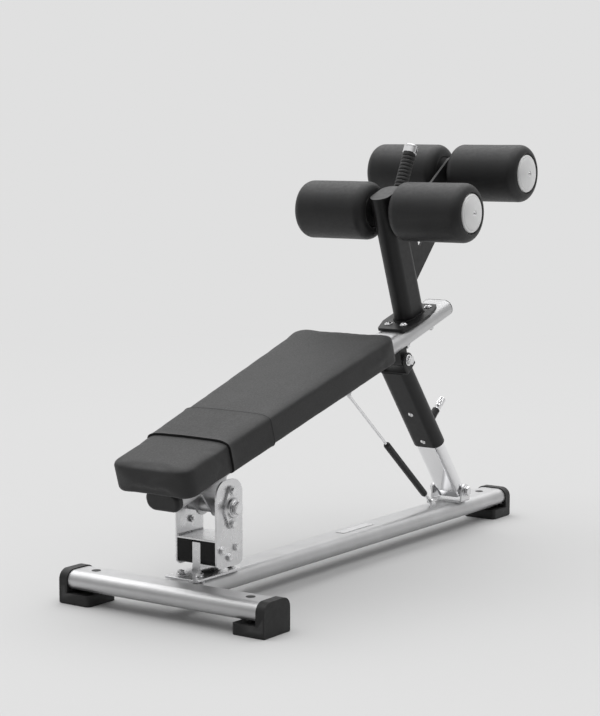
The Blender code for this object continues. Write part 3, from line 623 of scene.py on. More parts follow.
def foot_cap(name, spot, turn):
    """An end cap: a collar round the tube's end, an end wall and a foot under the tube, moulded in one."""
    outward, collar_long, height, long, width = 0.0065, 0.026, 0.028, 0.098, 0.1066
    half, top = width / 2, BASE_TOP + 0.003
    outline = rounded([(-half, 0), (half, 0), (half, top), (-half, top)], [0.004, 0.004, 0.027, 0.027], 12)
    collar = moved(slab(outline, collar_long), at(outward - collar_long / 2), SIDE)
    sole = moved(slab(box_outline(long, width, 0.010, 8), height), at(outward - long / 2 - 0.0003, 0, height / 2))
    inner = collar_long - outward
    socket = moved(slab(oval(BASE_TUBE, GAP), 2 * inner), at(GAP - inner, 0, BASE_Z), SIDE)
    body = carve(fuse(collar, sole), socket)
    soften(body, 0.0034, 4, 40)
    tread = [moved(rod(0.0035, 0.0012), at(x, y, 0)) for x in (-0.07, -0.045, -0.02) for y in (-0.035, 0, 0.035)]
    piece(name, carve(body, *tread), BASE @ at(*spot) @ spun(turn), FOOT, "base", name, smooth=40)


def spine_bead():
    """Where the spine meets the round side of the cross tube."""
    radius = BASE_TUBE[1] / 2
    points = []
    for x, z in oval(BASE_TUBE, 0.0002, 10):
        depth = math.sqrt(max(0.0, (radius + 0.0004)**2 - min(abs(z), radius)**2))
        points.append((x, radius + depth, BASE_Z + z))
    return bead(points, 0.0022)


def build_base():
    cross_half = 0.3175
    cross = moved(tube(BASE_TUBE, 2 * cross_half), at(z=BASE_Z), SIDE)
    drilled, rear_drilled = 0.245, 1.520
    bores = [moved(rod(0.0095, 0.012), at(x, 0, BASE_TOP - 0.008)) for x in (-drilled, drilled)]
    piece("front_cross_tube_shell", carve(cross, *bores), BASE, TUBE_X, "base", "front_cross_tube")
    start, end = 0.034, 1.6135
    spine = moved(tube(BASE_TUBE, end - start), at(0, (start + end) / 2, BASE_Z), UPRIGHT)
    spine = carve(spine, moved(rod(0.0095, 0.012), at(0, rear_drilled, BASE_TOP - 0.008)))
    piece("base_spine_shell", spine, BASE, TUBE_Y, "base", "base_spine")
    piece("spine_weld", spine_bead(), BASE, TUBE_Y, "base", weighted=False)

    plug = turned([(0, 0.0013), (0.0075, 0.0013), (0.0085, 0.0009), (0.0100, 0.0010), (0.0116, 0.0006),
                   (0.0120, 0.0001), (0.0112, -0.0001), (0.0090, -0.0001), (0.0088, -0.006), (0, -0.006)], 48)
    for side, spot in {"left": (-drilled, 0), "right": (drilled, 0), "rear": (0, rear_drilled)}.items():
        piece("plug_" + side, plug.copy(), BASE @ at(*spot, BASE_TOP + GAP), PLASTIC, "base", "hole_plug_" + side)
    plug.free()
    foot_cap("foot_cap_right", (cross_half, 0, 0), 0)
    foot_cap("foot_cap_left", (-cross_half, 0, 0), math.pi)
    foot_cap("foot_cap_rear", (0, end, 0), math.pi / 2)

    low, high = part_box("name_plate")
    size = high - low
    sheet = slab(box_outline(size.x, size.y, 0.003), size.z, (), 0.0002)
    rim = slab(box_outline(size.x - 0.003, size.y - 0.003, 0.002), 0.0004,
               [box_outline(size.x - 0.0045, size.y - 0.0045, 0.0014)], 0.0001, 1)
    rivets = [moved(rod(0.0016, 0.0008, 0.0003, 20), at(0, y, size.z / 2)) for y in (-0.072, 0.072)]
    blank = together(sheet, moved(rim, at(z=size.z / 2)), *rivets)
    piece("blank_plate", blank, at(*(low + high) / 2), PLATE, "base", "name_plate")

    for x in (-1, 1):
        screw = hex_head(0.010, 0.004, 0.001, 0.0065)
        lean = spun(math.radians(38 * x), "Y")
        piece(f"joint_screw_{'left' if x < 0 else 'right'}", screw,
              BASE @ at(0.0415 * x, 0.072, BASE_Z + 0.0192) @ lean, BOLT, "base")


def build_pedestal():
    thick, half = 0.006, 0.013
    top = BASE_TOP + GAP + thick
    flange = moved(slab(box_outline(0.106, 0.190, 0.012), thick, (), 0.0009, 3), at(0, 0.128, top - thick / 2))
    head, low, wide = 0.170, top - 0.004, half + 0.022
    corners = [(-wide, low), (wide, low), (wide, top - 0.0006), (half, top - 0.0006),
               (half, head), (-half, head), (-half, top - 0.0006), (-wide, top - 0.0006)]
    profile = rounded(corners, [0, 0, 0, 0.014, 0.002, 0.002, 0.014, 0], 10)
    web = moved(slab(profile, 0.0918, (), 0.0008, 2), at(0, 0.1466, 0), UPRIGHT)
    piece("pedestal_body", together(flange, web), BASE, ZINC, "base", "pivot_pedestal")
    spots = [(sign * 0.030, y) for y in (0.076, 0.2055) for sign in (-1, 1)]
    for number, (x, y) in enumerate(spots, 1):
        spot = BASE @ at(x, y, top + GAP) @ spun(number * 0.7)
        piece(f"flange_bolt_{number}", hex_head(0.017, 0.0064, 0.002), spot, BOLT, "base", f"pedestal_bolt_{number}")
    bottom, ceiling, inner, outer = 0.1113, 0.1747, half + GAP, CHEEK_X - GAP
    corners = [(-0.054, bottom), (0.054, bottom), (0.054, ceiling), (-0.054, ceiling)]
    for side, sign in (("left", -1), ("right", 1)):
        block = slab(rounded(corners, [0.018, 0.018, 0.002, 0.002], 10), outer - inner, (), 0.001, 2)
        piece("rubber_block_" + side, moved(block, at(sign * (inner + outer) / 2, CHEEK_Y, 0), SIDE), BASE, MOUNT,
              "base", "rubber_mount_" + side)


def build_cradle():
    corners = [(-0.054, 0.106), (0.054, 0.106), (0.054, 0.3285), (-0.054, 0.3285)]
    outline = [(y + CHEEK_Y, z) for y, z in rounded(corners, [0.017, 0.017, 0.040, 0.040], 12)]
    clamps = [(-0.036, 0.152), (0.022, 0.152), (-0.007, 0.130)]
    holes = [circle(0.0145, PIVOT)]
    holes += [circle(0.0053, (PIVOT[0], PIVOT[1] + dz), 20) for dz in (-0.042, 0.042)]
    holes += [circle(0.0053, (PIVOT[0] + y, z), 20) for y, z in clamps]
    cheeks = [moved(slab(outline, CHEEK_THICK, holes, 0.0007, 2), at(sign * (CHEEK_X + CHEEK_THICK / 2)), SIDE)
              for sign in (-1, 1)]
    shelf = moved(block((2 * CHEEK_X + 0.001, 0.108, 0.005), 0.0006), at(0, CHEEK_Y, 0.1775))
    welds = [seam((x, 0.102, 0.1812), (x, 0.205, 0.1812), 0.0022) for x in (0.0012 - CHEEK_X, CHEEK_X - 0.0012)]
    piece("cradle_bracket", together(*cheeks, shelf, *welds), BASE, ZINC, "base", "pivot_cradle")
    for number, (y, z) in enumerate(clamps, 1):
        head = moved(hex_head(0.017, 0.0064, 0.0012), at(CHEEK_OUT), TO_RIGHT, spun(number * 0.5))
        far = moved(hex_nut(0.017, 0.0064, 0.005), at(-CHEEK_OUT), TO_RIGHT, spun(number * 0.8))
        shank = moved(rod(0.005, 2 * CHEEK_OUT), at(-CHEEK_OUT), TO_RIGHT)
        piece(f"clamp_bolt_{number}", together(head, far, shank), BASE @ at(0, PIVOT[0] + y, z), BOLT, "base",
              f"cradle_bolt_{number}")


def bearing_shell():
    """A two-bolt oval flange housing, its plate on z = 0, with a cast hub that flows into the plate."""
    outline = hull([(0, 0, 0.031), (0, 0.042, 0.0135), (0, -0.042, 0.0135)])
    plate = slab(outline, 0.0055, [circle(AXLE_BORE)], 0.0012, 3)
    plate = moved(plate, at(z=0.00275))
    hub = turned([(0.0132, 0.0140), (0.0225, 0.0140), (0.0240, 0.0134), (0.0248, 0.0122), (0.0252, 0.0090),
                  (0.0262, 0.0072), (0.0285, 0.0060), (0.0300, 0.0054), (0.0300, 0.0040), (0.0132, 0.0040)], 72)
    seat = [(0.0056, 0.0072), (0.0108, 0.0072), (0.0118, 0.0064), (0.0122, 0.0050), (0.0056, 0.0050)]
    seats = [moved(turned(seat, 48), at(0, z, 0)) for z in (-0.042, 0.042)]
    grease = together(moved(rod(0.0026, 0.004, 0.0003, 6), at(0.0245, 0, 0.0105), TO_RIGHT),
                      moved(rod(0.0016, 0.0035, 0.0006, 20, 0.0010), at(0.0280, 0, 0.0105), TO_RIGHT))
    return together(plate, hub, *seats, grease)


def build_bearings():
    for side, sign, facing in (("left", -1, TO_LEFT), ("right", 1, TO_RIGHT)):
        spot = BASE @ at(sign * CHEEK_OUT, *PIVOT)
        stand = spun(math.pi / 2)
        piece("bearing_shell_" + side, moved(bearing_shell(), facing, stand), spot, ZINC, "base",
              "bearing_housing_" + side)
        for level, rise in (("lower", -0.042), ("upper", 0.042)):
            turn = spun(0.4 + rise * 9)
            head = moved(hex_head(0.017, 0.0064, 0.0), facing, at(z=0.0073), turn)
            inside = moved(hex_nut(0.017, 0.0064, 0.005, 0.003), facing, at(z=-CHEEK_THICK - 2 * GAP), turn)
            piece(f"housing_bolt_{side}_{level}", together(head, inside), spot @ at(z=rise), BOLT, "base",
                  f"bearing_bolt_{side}_{level}")


def bent_bracket(inside, height, depth, thick, ear, bend):
    """A U bracket bent from plate, open upwards, standing on z = 0. ear is the side outline of its ears."""
    outer = inside + thick
    corners = [(-outer, 0), (outer, 0), (outer, height), (inside, height), (inside, thick), (-inside, thick),
               (-inside, height), (-outer, height)]
    profile = rounded(corners, [bend + thick, bend + thick, 0, 0, bend, bend, 0, 0], 8)
    channel = moved(slab(profile, depth), UPRIGHT)
    side = moved(slab(ear, 2 * outer + 0.02), SIDE)
    return carve(channel, side, operation="INTERSECT")


def build_leg_foot():
    y, z = 1.345, 0.118
    inside, thick = LEG_INNER[0] / 2 + 0.0025, 0.006
    floor = BASE_TOP + GAP
    rise = z - floor
    ear = hull([(0, rise, 0.020)], [(-0.0249, 0), (0.0249, 0), (-0.0249, 0.010), (0.0249, 0.010)])
    body = bent_bracket(inside, rise + 0.030, 0.050, thick, ear, 0.002)
    body = carve(body, moved(rod(PIN_BORE, 0.2), at(-0.1, 0, rise), TO_RIGHT))
    soften(body, 0.0006, 2, 40)
    weld = seam((0.044, -0.0252, 0.001), (-0.044, -0.0252, 0.001), 0.0016, 0.0004)
    piece("leg_foot_u_bracket", together(body, weld), BASE @ at(0, y, floor), ZINC, "base", "leg_foot_bracket")
    face = inside + thick + GAP
    pin = through_bolt(0.024, 0.010, PIN_RADIUS, 0.0025, face, 0.3)
    piece("leg_foot_pin", pin, BASE @ at(0, y, z), BOLT, "base", "leg_foot_bolt")


# ---------------------------------------------------------------- seat
def build_seat_frame():
    ends, under = SEAT_ENDS, SEAT_TOP - SEAT_TUBE[1]
    body = moved(tube(SEAT_TUBE, ends[1] - ends[0]), at(0, sum(ends) / 2, SEAT_MID), UPRIGHT)
    lugs = []
    for x in (-0.024, 0.024):
        outline = hull([(0, 0, 0.028)], [(-0.056, under + 0.002), (0.056, under + 0.002)])
        lugs.append(moved(slab(outline, 0.006, [circle(AXLE_BORE)], 0.0007, 2), at(x), SIDE))
    boss = turned([(0.0128, 0.0602), (0.0180, 0.0602), (0.0190, 0.0592), (0.0190, -0.0592), (0.0180, -0.0602),
                   (0.0128, -0.0602)], 48)
    top_lug = slab(hull([(0, 0, 0.018)], [(-0.0185, under - 0.027), (0.0185, under - 0.027)]),
                   0.087, [circle(0.014)], 0.0007, 2)
    gas_lug = slab(hull([(0, 0, 0.010)], [(-0.014, under - 0.033), (0.014, under - 0.033)]), 0.005, (), 0.0006, 2)
    stud = moved(rod(0.004, 0.020, 0.0005, 24), at(-0.009), TO_RIGHT)
    bars = [moved(block((0.150, 0.050, 0.0065), 0.001), at(0, y, SEAT_TOP + 0.0033)) for y in (-0.100, 0.500)]
    beads = [seam((x, -0.054, under), (x, 0.054, under), 0.002) for x in (-0.0205, -0.0275, 0.0205, 0.0275)]
    piece("seat_leg_lug", moved(top_lug, at(0, *LEG_LUG), SIDE), SEAT, PAINT, "seat")
    parts = [body, *lugs, moved(boss, TO_RIGHT), moved(gas_lug, at(0.010, *GAS_LUG), SIDE),
             moved(stud, at(0, *GAS_LUG)), *bars, *beads]
    piece("seat_frame_tube", together(*parts), SEAT, TUBE_Y, "seat", "seat_frame")

    shell = moved(slab(box_outline(SEAT_TUBE[0] + 0.001, SEAT_TUBE[1] + 0.0055, 0.025, 12), 0.022), at(y=0.00275))
    front_edges = [e for e in shell.edges if e.calc_face_angle(0) > 1 and all(v.co.z > 0 for v in e.verts)]
    bmesh.ops.bevel(shell, geom=front_edges, offset=0.010, segments=6, profile=0.5, affect="EDGES")
    soften(shell, 0.0006, 2, 50)
    piece("seat_front_cap", moved(shell, at(0, ends[0] - GAP - 0.011, SEAT_MID), UPRIGHT), SEAT, PLASTIC, "seat",
          "frame_front_cap")
    lid = slab(oval(SEAT_TUBE), 0.003, (), 0.0012, 3)
    dish = slab(oval(SEAT_TUBE, -0.008), 0.0006, (), 0.0002, 1)
    piece("seat_rear_cap", moved(together(lid, moved(dish, at(z=-0.0016))), at(0, ends[1] + GAP + 0.0015, SEAT_MID),
                                 UPRIGHT), SEAT, PLASTIC, "seat", "frame_rear_cap")

    face = CHEEK_OUT + 0.014 + GAP
    shaft = through_bolt(0.030, 0.011, AXLE_RADIUS, 0.003, face, 0.2, 0.006)
    piece("pivot_shaft", shaft, SEAT, BOLT, "seat", "pivot_bolt")


def pad_half(y):
    share = (y - PAD_ENDS[0]) / (PAD_ENDS[1] - PAD_ENDS[0])
    return PAD_HALF[0] + share * (PAD_HALF[1] - PAD_HALF[0])


def pad_outline(inset=0.0, radius=0.035):
    low, high = PAD_ENDS[0] + inset, PAD_ENDS[1] - inset
    corners = [(-pad_half(low) + inset, low), (pad_half(low) - inset, low),
               (pad_half(high) - inset, high), (-pad_half(high) + inset, high)]
    return rounded(corners, [radius] * 4, 12)


def inflate(bm, voxel, cap, pressure):
    """Cloth under pressure: the form swells like stuffed vinyl, and no point moves further than cap."""
    holder = holder_of(bm, "swelling")
    remesh = holder.modifiers.new("remesh", "REMESH")
    remesh.mode = "VOXEL"
    remesh.voxel_size = voxel
    form = holder_of(evaluated(holder), "form")
    rest = np.array([v.co[:] for v in form.data.vertices])
    cloth = form.modifiers.new("cloth", "CLOTH")
    cloth.settings.use_pressure = True
    cloth.settings.uniform_pressure_force = pressure
    cloth.settings.tension_stiffness = 30
    cloth.settings.compression_stiffness = 30
    cloth.settings.bending_stiffness = 2
    cloth.settings.effector_weights.gravity = 0
    cloth.point_cache.frame_start = 1
    cloth.point_cache.frame_end = CLOTH_FRAMES
    for number in range(1, CLOTH_FRAMES + 1):
        bpy.context.scene.frame_set(number)
    made = evaluated(form)
    bpy.context.scene.frame_set(1)
    moves = np.array([v.co[:] for v in made.verts]) - rest
    length = np.maximum(np.linalg.norm(moves, axis=1), 1e-9)
    kept = rest + moves * np.minimum(1, cap / length)[:, None]
    for vertex, spot in zip(made.verts, kept):
        vertex.co = spot
    return made


def fit_to_pad(form):
    """Smoothing draws the form in at its ends and sides: stretch it back to the pad's full size."""
    along = [v.co.y for v in form.verts]
    start, end = min(along), max(along)
    stretch = (PAD_ENDS[1] - PAD_ENDS[0] + 0.005) / (end - start)
    widest = max(abs(v.co.x) for v in form.verts)
    for vertex in form.verts:
        vertex.co.y = PAD_ENDS[0] - 0.005 + (vertex.co.y - start) * stretch
        vertex.co.x *= PAD_HALF[1] / widest


def build_pad():
    low, high = PAD_UNDER, PAD_Z[1] - PAD_INSET
    form = slab(pad_outline(PAD_INSET), high - low)
    rims = [e for e in form.edges if e.calc_face_angle(0) > 1 and len({v.co.z > 0 for v in e.verts}) == 1]
    bmesh.ops.bevel(form, geom=rims, offset=0.006, segments=3, profile=0.5, affect="EDGES")
    form = inflate(moved(form, at(z=(low + high) / 2)), 0.005, PAD_CAP, 4.0)
    for _ in range(3):
        bmesh.ops.smooth_vert(form, verts=form.verts, factor=0.5, use_axis_x=True, use_axis_y=True, use_axis_z=True)
    fit_to_pad(form)
    for vertex in form.verts:
        dimple = noise.noise(vertex.co * 9.0) * 0.0006 + noise.noise(vertex.co * 30.0) * 0.00025
        vertex.co += vertex.normal * dimple
        vertex.co.z = max(vertex.co.z, PAD_UNDER)
    mesh = bpy.data.meshes.new("pad_form")
    form.to_mesh(mesh)
    pad = piece("pad_cushion", form, SEAT, VINYL, "seat", "bench_pad", smooth=80, weighted=False)
    finer = pad.modifiers.new("fine", "SUBSURF")
    finer.levels = finer.render_levels = 1

    cover = slab(pad_outline(0.016, 0.026), 0.0020, (), 0.0004, 2)
    spots = [(x, y) for x in (-0.06, 0.06) for y in (-0.10, 0.20, 0.50)]
    tees = [moved(rod(0.009, 0.0006, 0.0002, 30), at(x, y, -0.0014)) for x, y in spots]
    piece("pad_dust_cover", moved(together(cover, *tees), at(z=PAD_Z[0] + 0.0012)), SEAT, PLASTIC, "seat")
    build_sleeve(mesh)


def wrap(mesh, ends, lift, thick, flare):
    """The pad's own surface between two lines across it, lifted off and thickened. flare lifts its two edges."""
    band = bmesh.new()
    band.from_mesh(mesh)
    for y, sign in zip(ends, (-1, 1)):
        geometry = list(band.verts) + list(band.edges) + list(band.faces)
        bmesh.ops.bisect_plane(band, geom=geometry, plane_co=(0, y, 0), plane_no=(0, sign, 0), clear_outer=True)
    bmesh.ops.remove_doubles(band, verts=band.verts, dist=0.0004)
    band = evaluated(holder_of(band))
    band.normal_update()
    for vertex, push in [(v, Vector((v.normal.x, 0, v.normal.z)).normalized()) for v in band.verts]:
        edge = flare[0] * math.exp((ends[0] - vertex.co.y) / 0.010)
        edge += flare[1] * math.exp((vertex.co.y - ends[1]) / 0.008)
        above = min(1.0, max(0.0, (vertex.co.z - PAD_UNDER) / 0.010))
        vertex.co += push * (lift + edge * above)
        arch = min(1.0, max(0.0, (vertex.co.z - PAD_Z[1] + 0.016) / 0.012))
        vertex.co.y += 0.0040 * arch * (1 - (vertex.co.x / 0.13)**2)
    skin = bmesh.ops.extrude_face_region(band, geom=list(band.faces))["geom"]
    skin = [g for g in skin if isinstance(g, bmesh.types.BMVert)]
    band.normal_update()
    for vertex, push in [(v, Vector((v.normal.x, 0, v.normal.z)).normalized()) for v in skin]:
        vertex.co += push * thick
    return band


def build_sleeve(mesh):
    """The vinyl wrap round the pad, with a black strip along each edge: painted shade standing in for the shadow line
    at each edge of the wrap.
    """
    sleeve = wrap(mesh, SLEEVE, 0.0006, 0.0024, (0.0026, 0.0008))
    piece("pad_wrap", sleeve, SEAT, SLEEVE_VINYL, "seat", "pad_sleeve", smooth=50, weighted=False)
    for name, start, end, lift in (("low", SLEEVE[0] - 0.0014, SLEEVE[0] + 0.0006, 0.0004),
                                   ("high", SLEEVE[1] - 0.0006, SLEEVE[1] + 0.0014, 0.0016)):
        # A black strip at this edge of the wrap: painted shade for the shadow line there.
        painted_shade_strip = wrap(mesh, (start, end), lift, 0.0024, (0.0, 0.0))
        piece(f"pad_wrap_binding_{name}", painted_shade_strip, SEAT, MOUNT, "seat", smooth=50, weighted=False)
    bpy.data.meshes.remove(mesh)


def axle_boss(radius, half):
    """A turned boss round an axle, standing along X."""
    profile = [(AXLE_BORE, half), (radius - 0.001, half), (radius, half - 0.001)]
    return moved(turned(profile + [(r, -z) for r, z in reversed(profile)], 56), TO_RIGHT)


def build_post():
    foot, thick = SEAT_TOP + GAP, 0.009
    tilt = at(0, *POST_ENDS[0]) @ spun(POST_TILT, "X")
    length = POST_LONG - 0.004
    column = moved(slab(oval(POST, 0, 16), length, [oval(POST, -WALL, 16)]), tilt, at(z=length / 2))
    column = carve(column, moved(rod(AXLE_BORE, 0.2), at(-0.1, *AXLES["front"]), TO_RIGHT))
    lid = moved(slab(oval(POST, 0, 16), 0.005, (), 0.0008, 2), tilt, at(z=POST_LONG - 0.0025))
    half = [(0.042, 0.914), (0.0595, 0.972), (0.0595, 1.040), (0.0455, 1.100), (0.036, 1.119)]
    radii = [0.008, 0.020, 0.020, 0.020, 0.008]
    corners = half + [(-x, y) for x, y in reversed(half)]
    sole = slab(rounded(corners, radii + radii[::-1], 8), thick, (), 0.0007, 2)
    ring = [(x, y + POST_ENDS[0][0], foot + thick + 0.0006) for x, y in oval(POST, 0.0012, 10)]
    boss = moved(axle_boss(0.020, INNER["front"] - 2 * GAP), at(0, *AXLES["front"]))
    boss_welds = []
    for x in (-0.0303, 0.0303):
        points = [(x, y, z) for y, z in circle(0.0206, AXLES["front"], 24)]
        boss_welds.append(bead(points, 0.0018))
    handle_foot, handle_top = Vector((0, 1.035, 0.444)), Vector((0, 1.1685, 0.5870))
    run = handle_top - handle_foot
    handle = SEAT @ at(*handle_foot) @ spun(math.atan2(-run.y, run.z), "X")
    bar = moved(rod(0.0125, run.length - 0.014, 0.0008), SEAT.inverted() @ handle)
    parts = [column, lid, moved(sole, at(z=foot + thick / 2)), bead(ring, 0.0025), boss, *boss_welds, bar]
    piece("roller_post_tube", together(*parts), SEAT, PAINT, "seat", "roller_post")
    build_handle(handle, run.length)
    spots = [(sign * x, y) for x, y in ((0.0255, 0.949), (0.0215, 1.093)) for sign in (-1, 1)]
    for number, (x, y) in enumerate(spots, 1):
        turn = spun(number * 0.9)
        head = moved(button_head(0.0098, 0.0058), at(z=foot + thick + GAP), turn)
        nut = together(hex_nut(0.0165, 0.008, 0.005, 0.004), moved(washer(0.0105, 0.005, 0.0015), at(z=-0.0008)))
        nut = moved(nut, at(z=SEAT_TOP - SEAT_TUBE[1] - GAP), turn)
        piece(f"post_screw_{number}", together(head, nut), SEAT @ at(x, y, 0), BOLT, "seat", f"post_bolt_{number}")


def build_handle(axes, length):
    top = length - 0.025 - GAP
    start = top - 0.115
    inside, full, low = 0.0128, 0.0190, 0.0172
    count = 10
    pitch = (top - start - 0.006) / count
    profile = [(inside, start), (full - 0.001, start), (full, start + 0.001), (full, start + 0.003)]
    for i in range(count):
        z = start + 0.003 + i * pitch
        profile += [(full - 0.0003, z + pitch * 0.10), (low, z + pitch * 0.22), (low, z + pitch * 0.34),
                    (full - 0.0003, z + pitch * 0.46), (full, z + pitch * 0.60), (full, z + pitch * 0.95)]
    profile += [(full, top - 0.001), (full - 0.001, top), (inside, top)]
    profile = [p for i, p in enumerate(profile) if i == 0 or math.dist(p, profile[i - 1]) > 1e-6]
    grip = turned(profile[::-1], 56)
    lean = 0.16
    for vertex in grip.verts:
        if start + 0.004 < vertex.co.z < top - 0.004:
            vertex.co.z += lean * vertex.co.y * 0.25
    piece("grip_sleeve", grip, axes, GRIP, "seat", "handle_grip", smooth=50)
    radius = 0.0205
    cap = turned([(0, length), (radius - 0.004, length), (radius - 0.0015, length - 0.0006), (radius, length - 0.0025),
                  (radius, length - 0.0065), (radius - 0.0006, length - 0.0070), (radius, length - 0.0075),
                  (radius, length - 0.024), (radius - 0.001, length - 0.025), (inside, length - 0.025),
                  (inside, length - 0.011), (0, length - 0.011)], 64)
    hole = moved(rod(0.0022, 0.006), at(0.0170, 0, length - 0.016), TO_RIGHT)
    piece("handle_cap", carve(cap, hole), axes, CHROME, "seat", "handle_end_cap")
    grub = moved(prism(0.0034, 0.002, 0.0002), at(0.0180, 0, length - 0.016), TO_RIGHT)
    piece("handle_cap_screw", grub, axes, BOLT, "seat")


def build_gusset():
    y, z = AXLES["rear"]

    def rear_face(level):
        half = (POST[1] / 2 + GAP) / math.cos(POST_TILT)
        return POST_ENDS[0][0] + half - (level - POST_ENDS[0][1]) * math.tan(POST_TILT)

    outline = hull([(y, z, 0.045), (y, z - 0.028, 0.045)], [(rear_face(level), level) for level in (0.1985, 0.395)])
    corners = [(1.120, 0.288), (1.262, 0.385), (1.262, 0.404), (1.120, 0.352)]
    window = rounded(corners, [0.010, 0.006, 0.006, 0.010], 6)
    sheet = moved(slab(outline, 0.008, [window, circle(AXLE_BORE, (y, z))], 0.0008, 2), SIDE)
    boss = moved(axle_boss(0.024, INNER["rear"] - 2 * GAP), at(0, y, z))
    welds = [seam((x, rear_face(0.201) + 0.0005, 0.201), (x, rear_face(0.392) + 0.0005, 0.392), 0.0024)
             for x in (-0.0045, 0.0045)]
    welds += [bead([(x, *spot) for spot in circle(0.0246, (y, z), 24)], 0.0018) for x in (-0.0045, 0.0045)]
    piece("rear_gusset_plate", together(sheet, boss, *welds), SEAT, PAINT, "seat", "rear_roller_gusset")


def foam_skin(seed):
    """A foam roller from its inner end up, recessed at both ends, its skin very slightly uneven."""
    radius, length, fillet = ROLLER
    edge = radius - fillet
    outside = [p for p in arc((edge, length - fillet), fillet, 90, 0, 18) if p[0] > 0.0600]
    outside += [(radius, fillet + (length - 2 * fillet) * k / 24) for k in range(23, 0, -1)]
    outside += arc((edge, fillet), fillet, 0, -90, 16)
    profile = [(0.0574, length - 0.0110), (0.0577, length - 0.0012), (0.0590, length - 0.0002)] + outside
    profile += [(0.050, 0.0), (0.047, 0.003), (0.047, 0.006), (0.0150, 0.006), (0.0150, length - 0.0110)]
    skin = turned(profile, 96)
    for vertex in skin.verts:
        if vertex.co.xy.length > 0.062:
            vertex.co += vertex.normal * noise.noise(vertex.co * 14 + Vector((0, 0, seed))) * 0.0006
    return skin


def end_disc():
    """A shallow domed disc with a rolled rim and a flat for its screw."""
    crown, low, dome = 0.0468, 0.0075, 0.0145
    ball = (crown**2 + (dome - low)**2) / (2 * (dome - low))
    reach = math.degrees(math.asin(crown / ball))
    profile = [(0, dome - 0.0020), (0.0070, dome - 0.0020), (0.0076, dome - 0.0008)]
    profile += arc((0, dome - ball), ball, 90 - reach * 0.19, 90 - reach, 18)
    profile += [(0.0472, 0.0064)] + arc((0.0484, 0.0002), 0.0066, 100, 0, 12)
    profile += [(0.0550, -0.0030), (0.0535, -0.0042), (0, -0.0042)]
    return turned(profile, 96)


def build_rollers():
    length = ROLLER[1]
    for row, spot in AXLES.items():
        axes, inner = SEAT @ at(0, *spot), INNER[row]
        outer = inner + length
        rodding = moved(rod(0.0125, 2 * outer - 0.001, 0.0005), at(-outer + 0.0005), TO_RIGHT)
        piece(f"{row}_axle_rod", rodding, axes, BOLT, "seat", f"{row}_roller_axle")
        for side, sign, facing in (("left", -1, TO_LEFT), ("right", 1, TO_RIGHT)):
            name, body = f"{row}_{side}", f"{row}_{side}_roller"
            piece(name + "_sponge", moved(foam_skin(7 * sign), at(sign * inner), facing), axes, FOAM, body,
                  f"{name}_foam", smooth=60, weighted=False)
            hub = turned([(0.0140, 0.0062), (0.0140, 0.0006), (0.0240, 0.0006), (0.0262, 0.0010), (0.0400, 0.0018),
                          (0.0455, 0.0022), (0.0465, 0.0035), (0.0465, 0.0062)][::-1], 64)
            piece(name + "_hub", moved(hub, at(sign * inner), facing), axes, PLASTIC, body)
            face = outer - 0.0055
            piece(name + "_disc", moved(end_disc(), at(sign * face), facing), axes, DISC, body,
                  f"{name}_end_cap", smooth=40)
            screw = button_head(0.0050, 0.0026, 0.0006)
            piece(name + "_disc_screw", moved(screw, at(sign * (face + 0.0125)), facing), axes, BOLT, body)


# ---------------------------------------------------------------- leg
PIN_Z = 0.2525


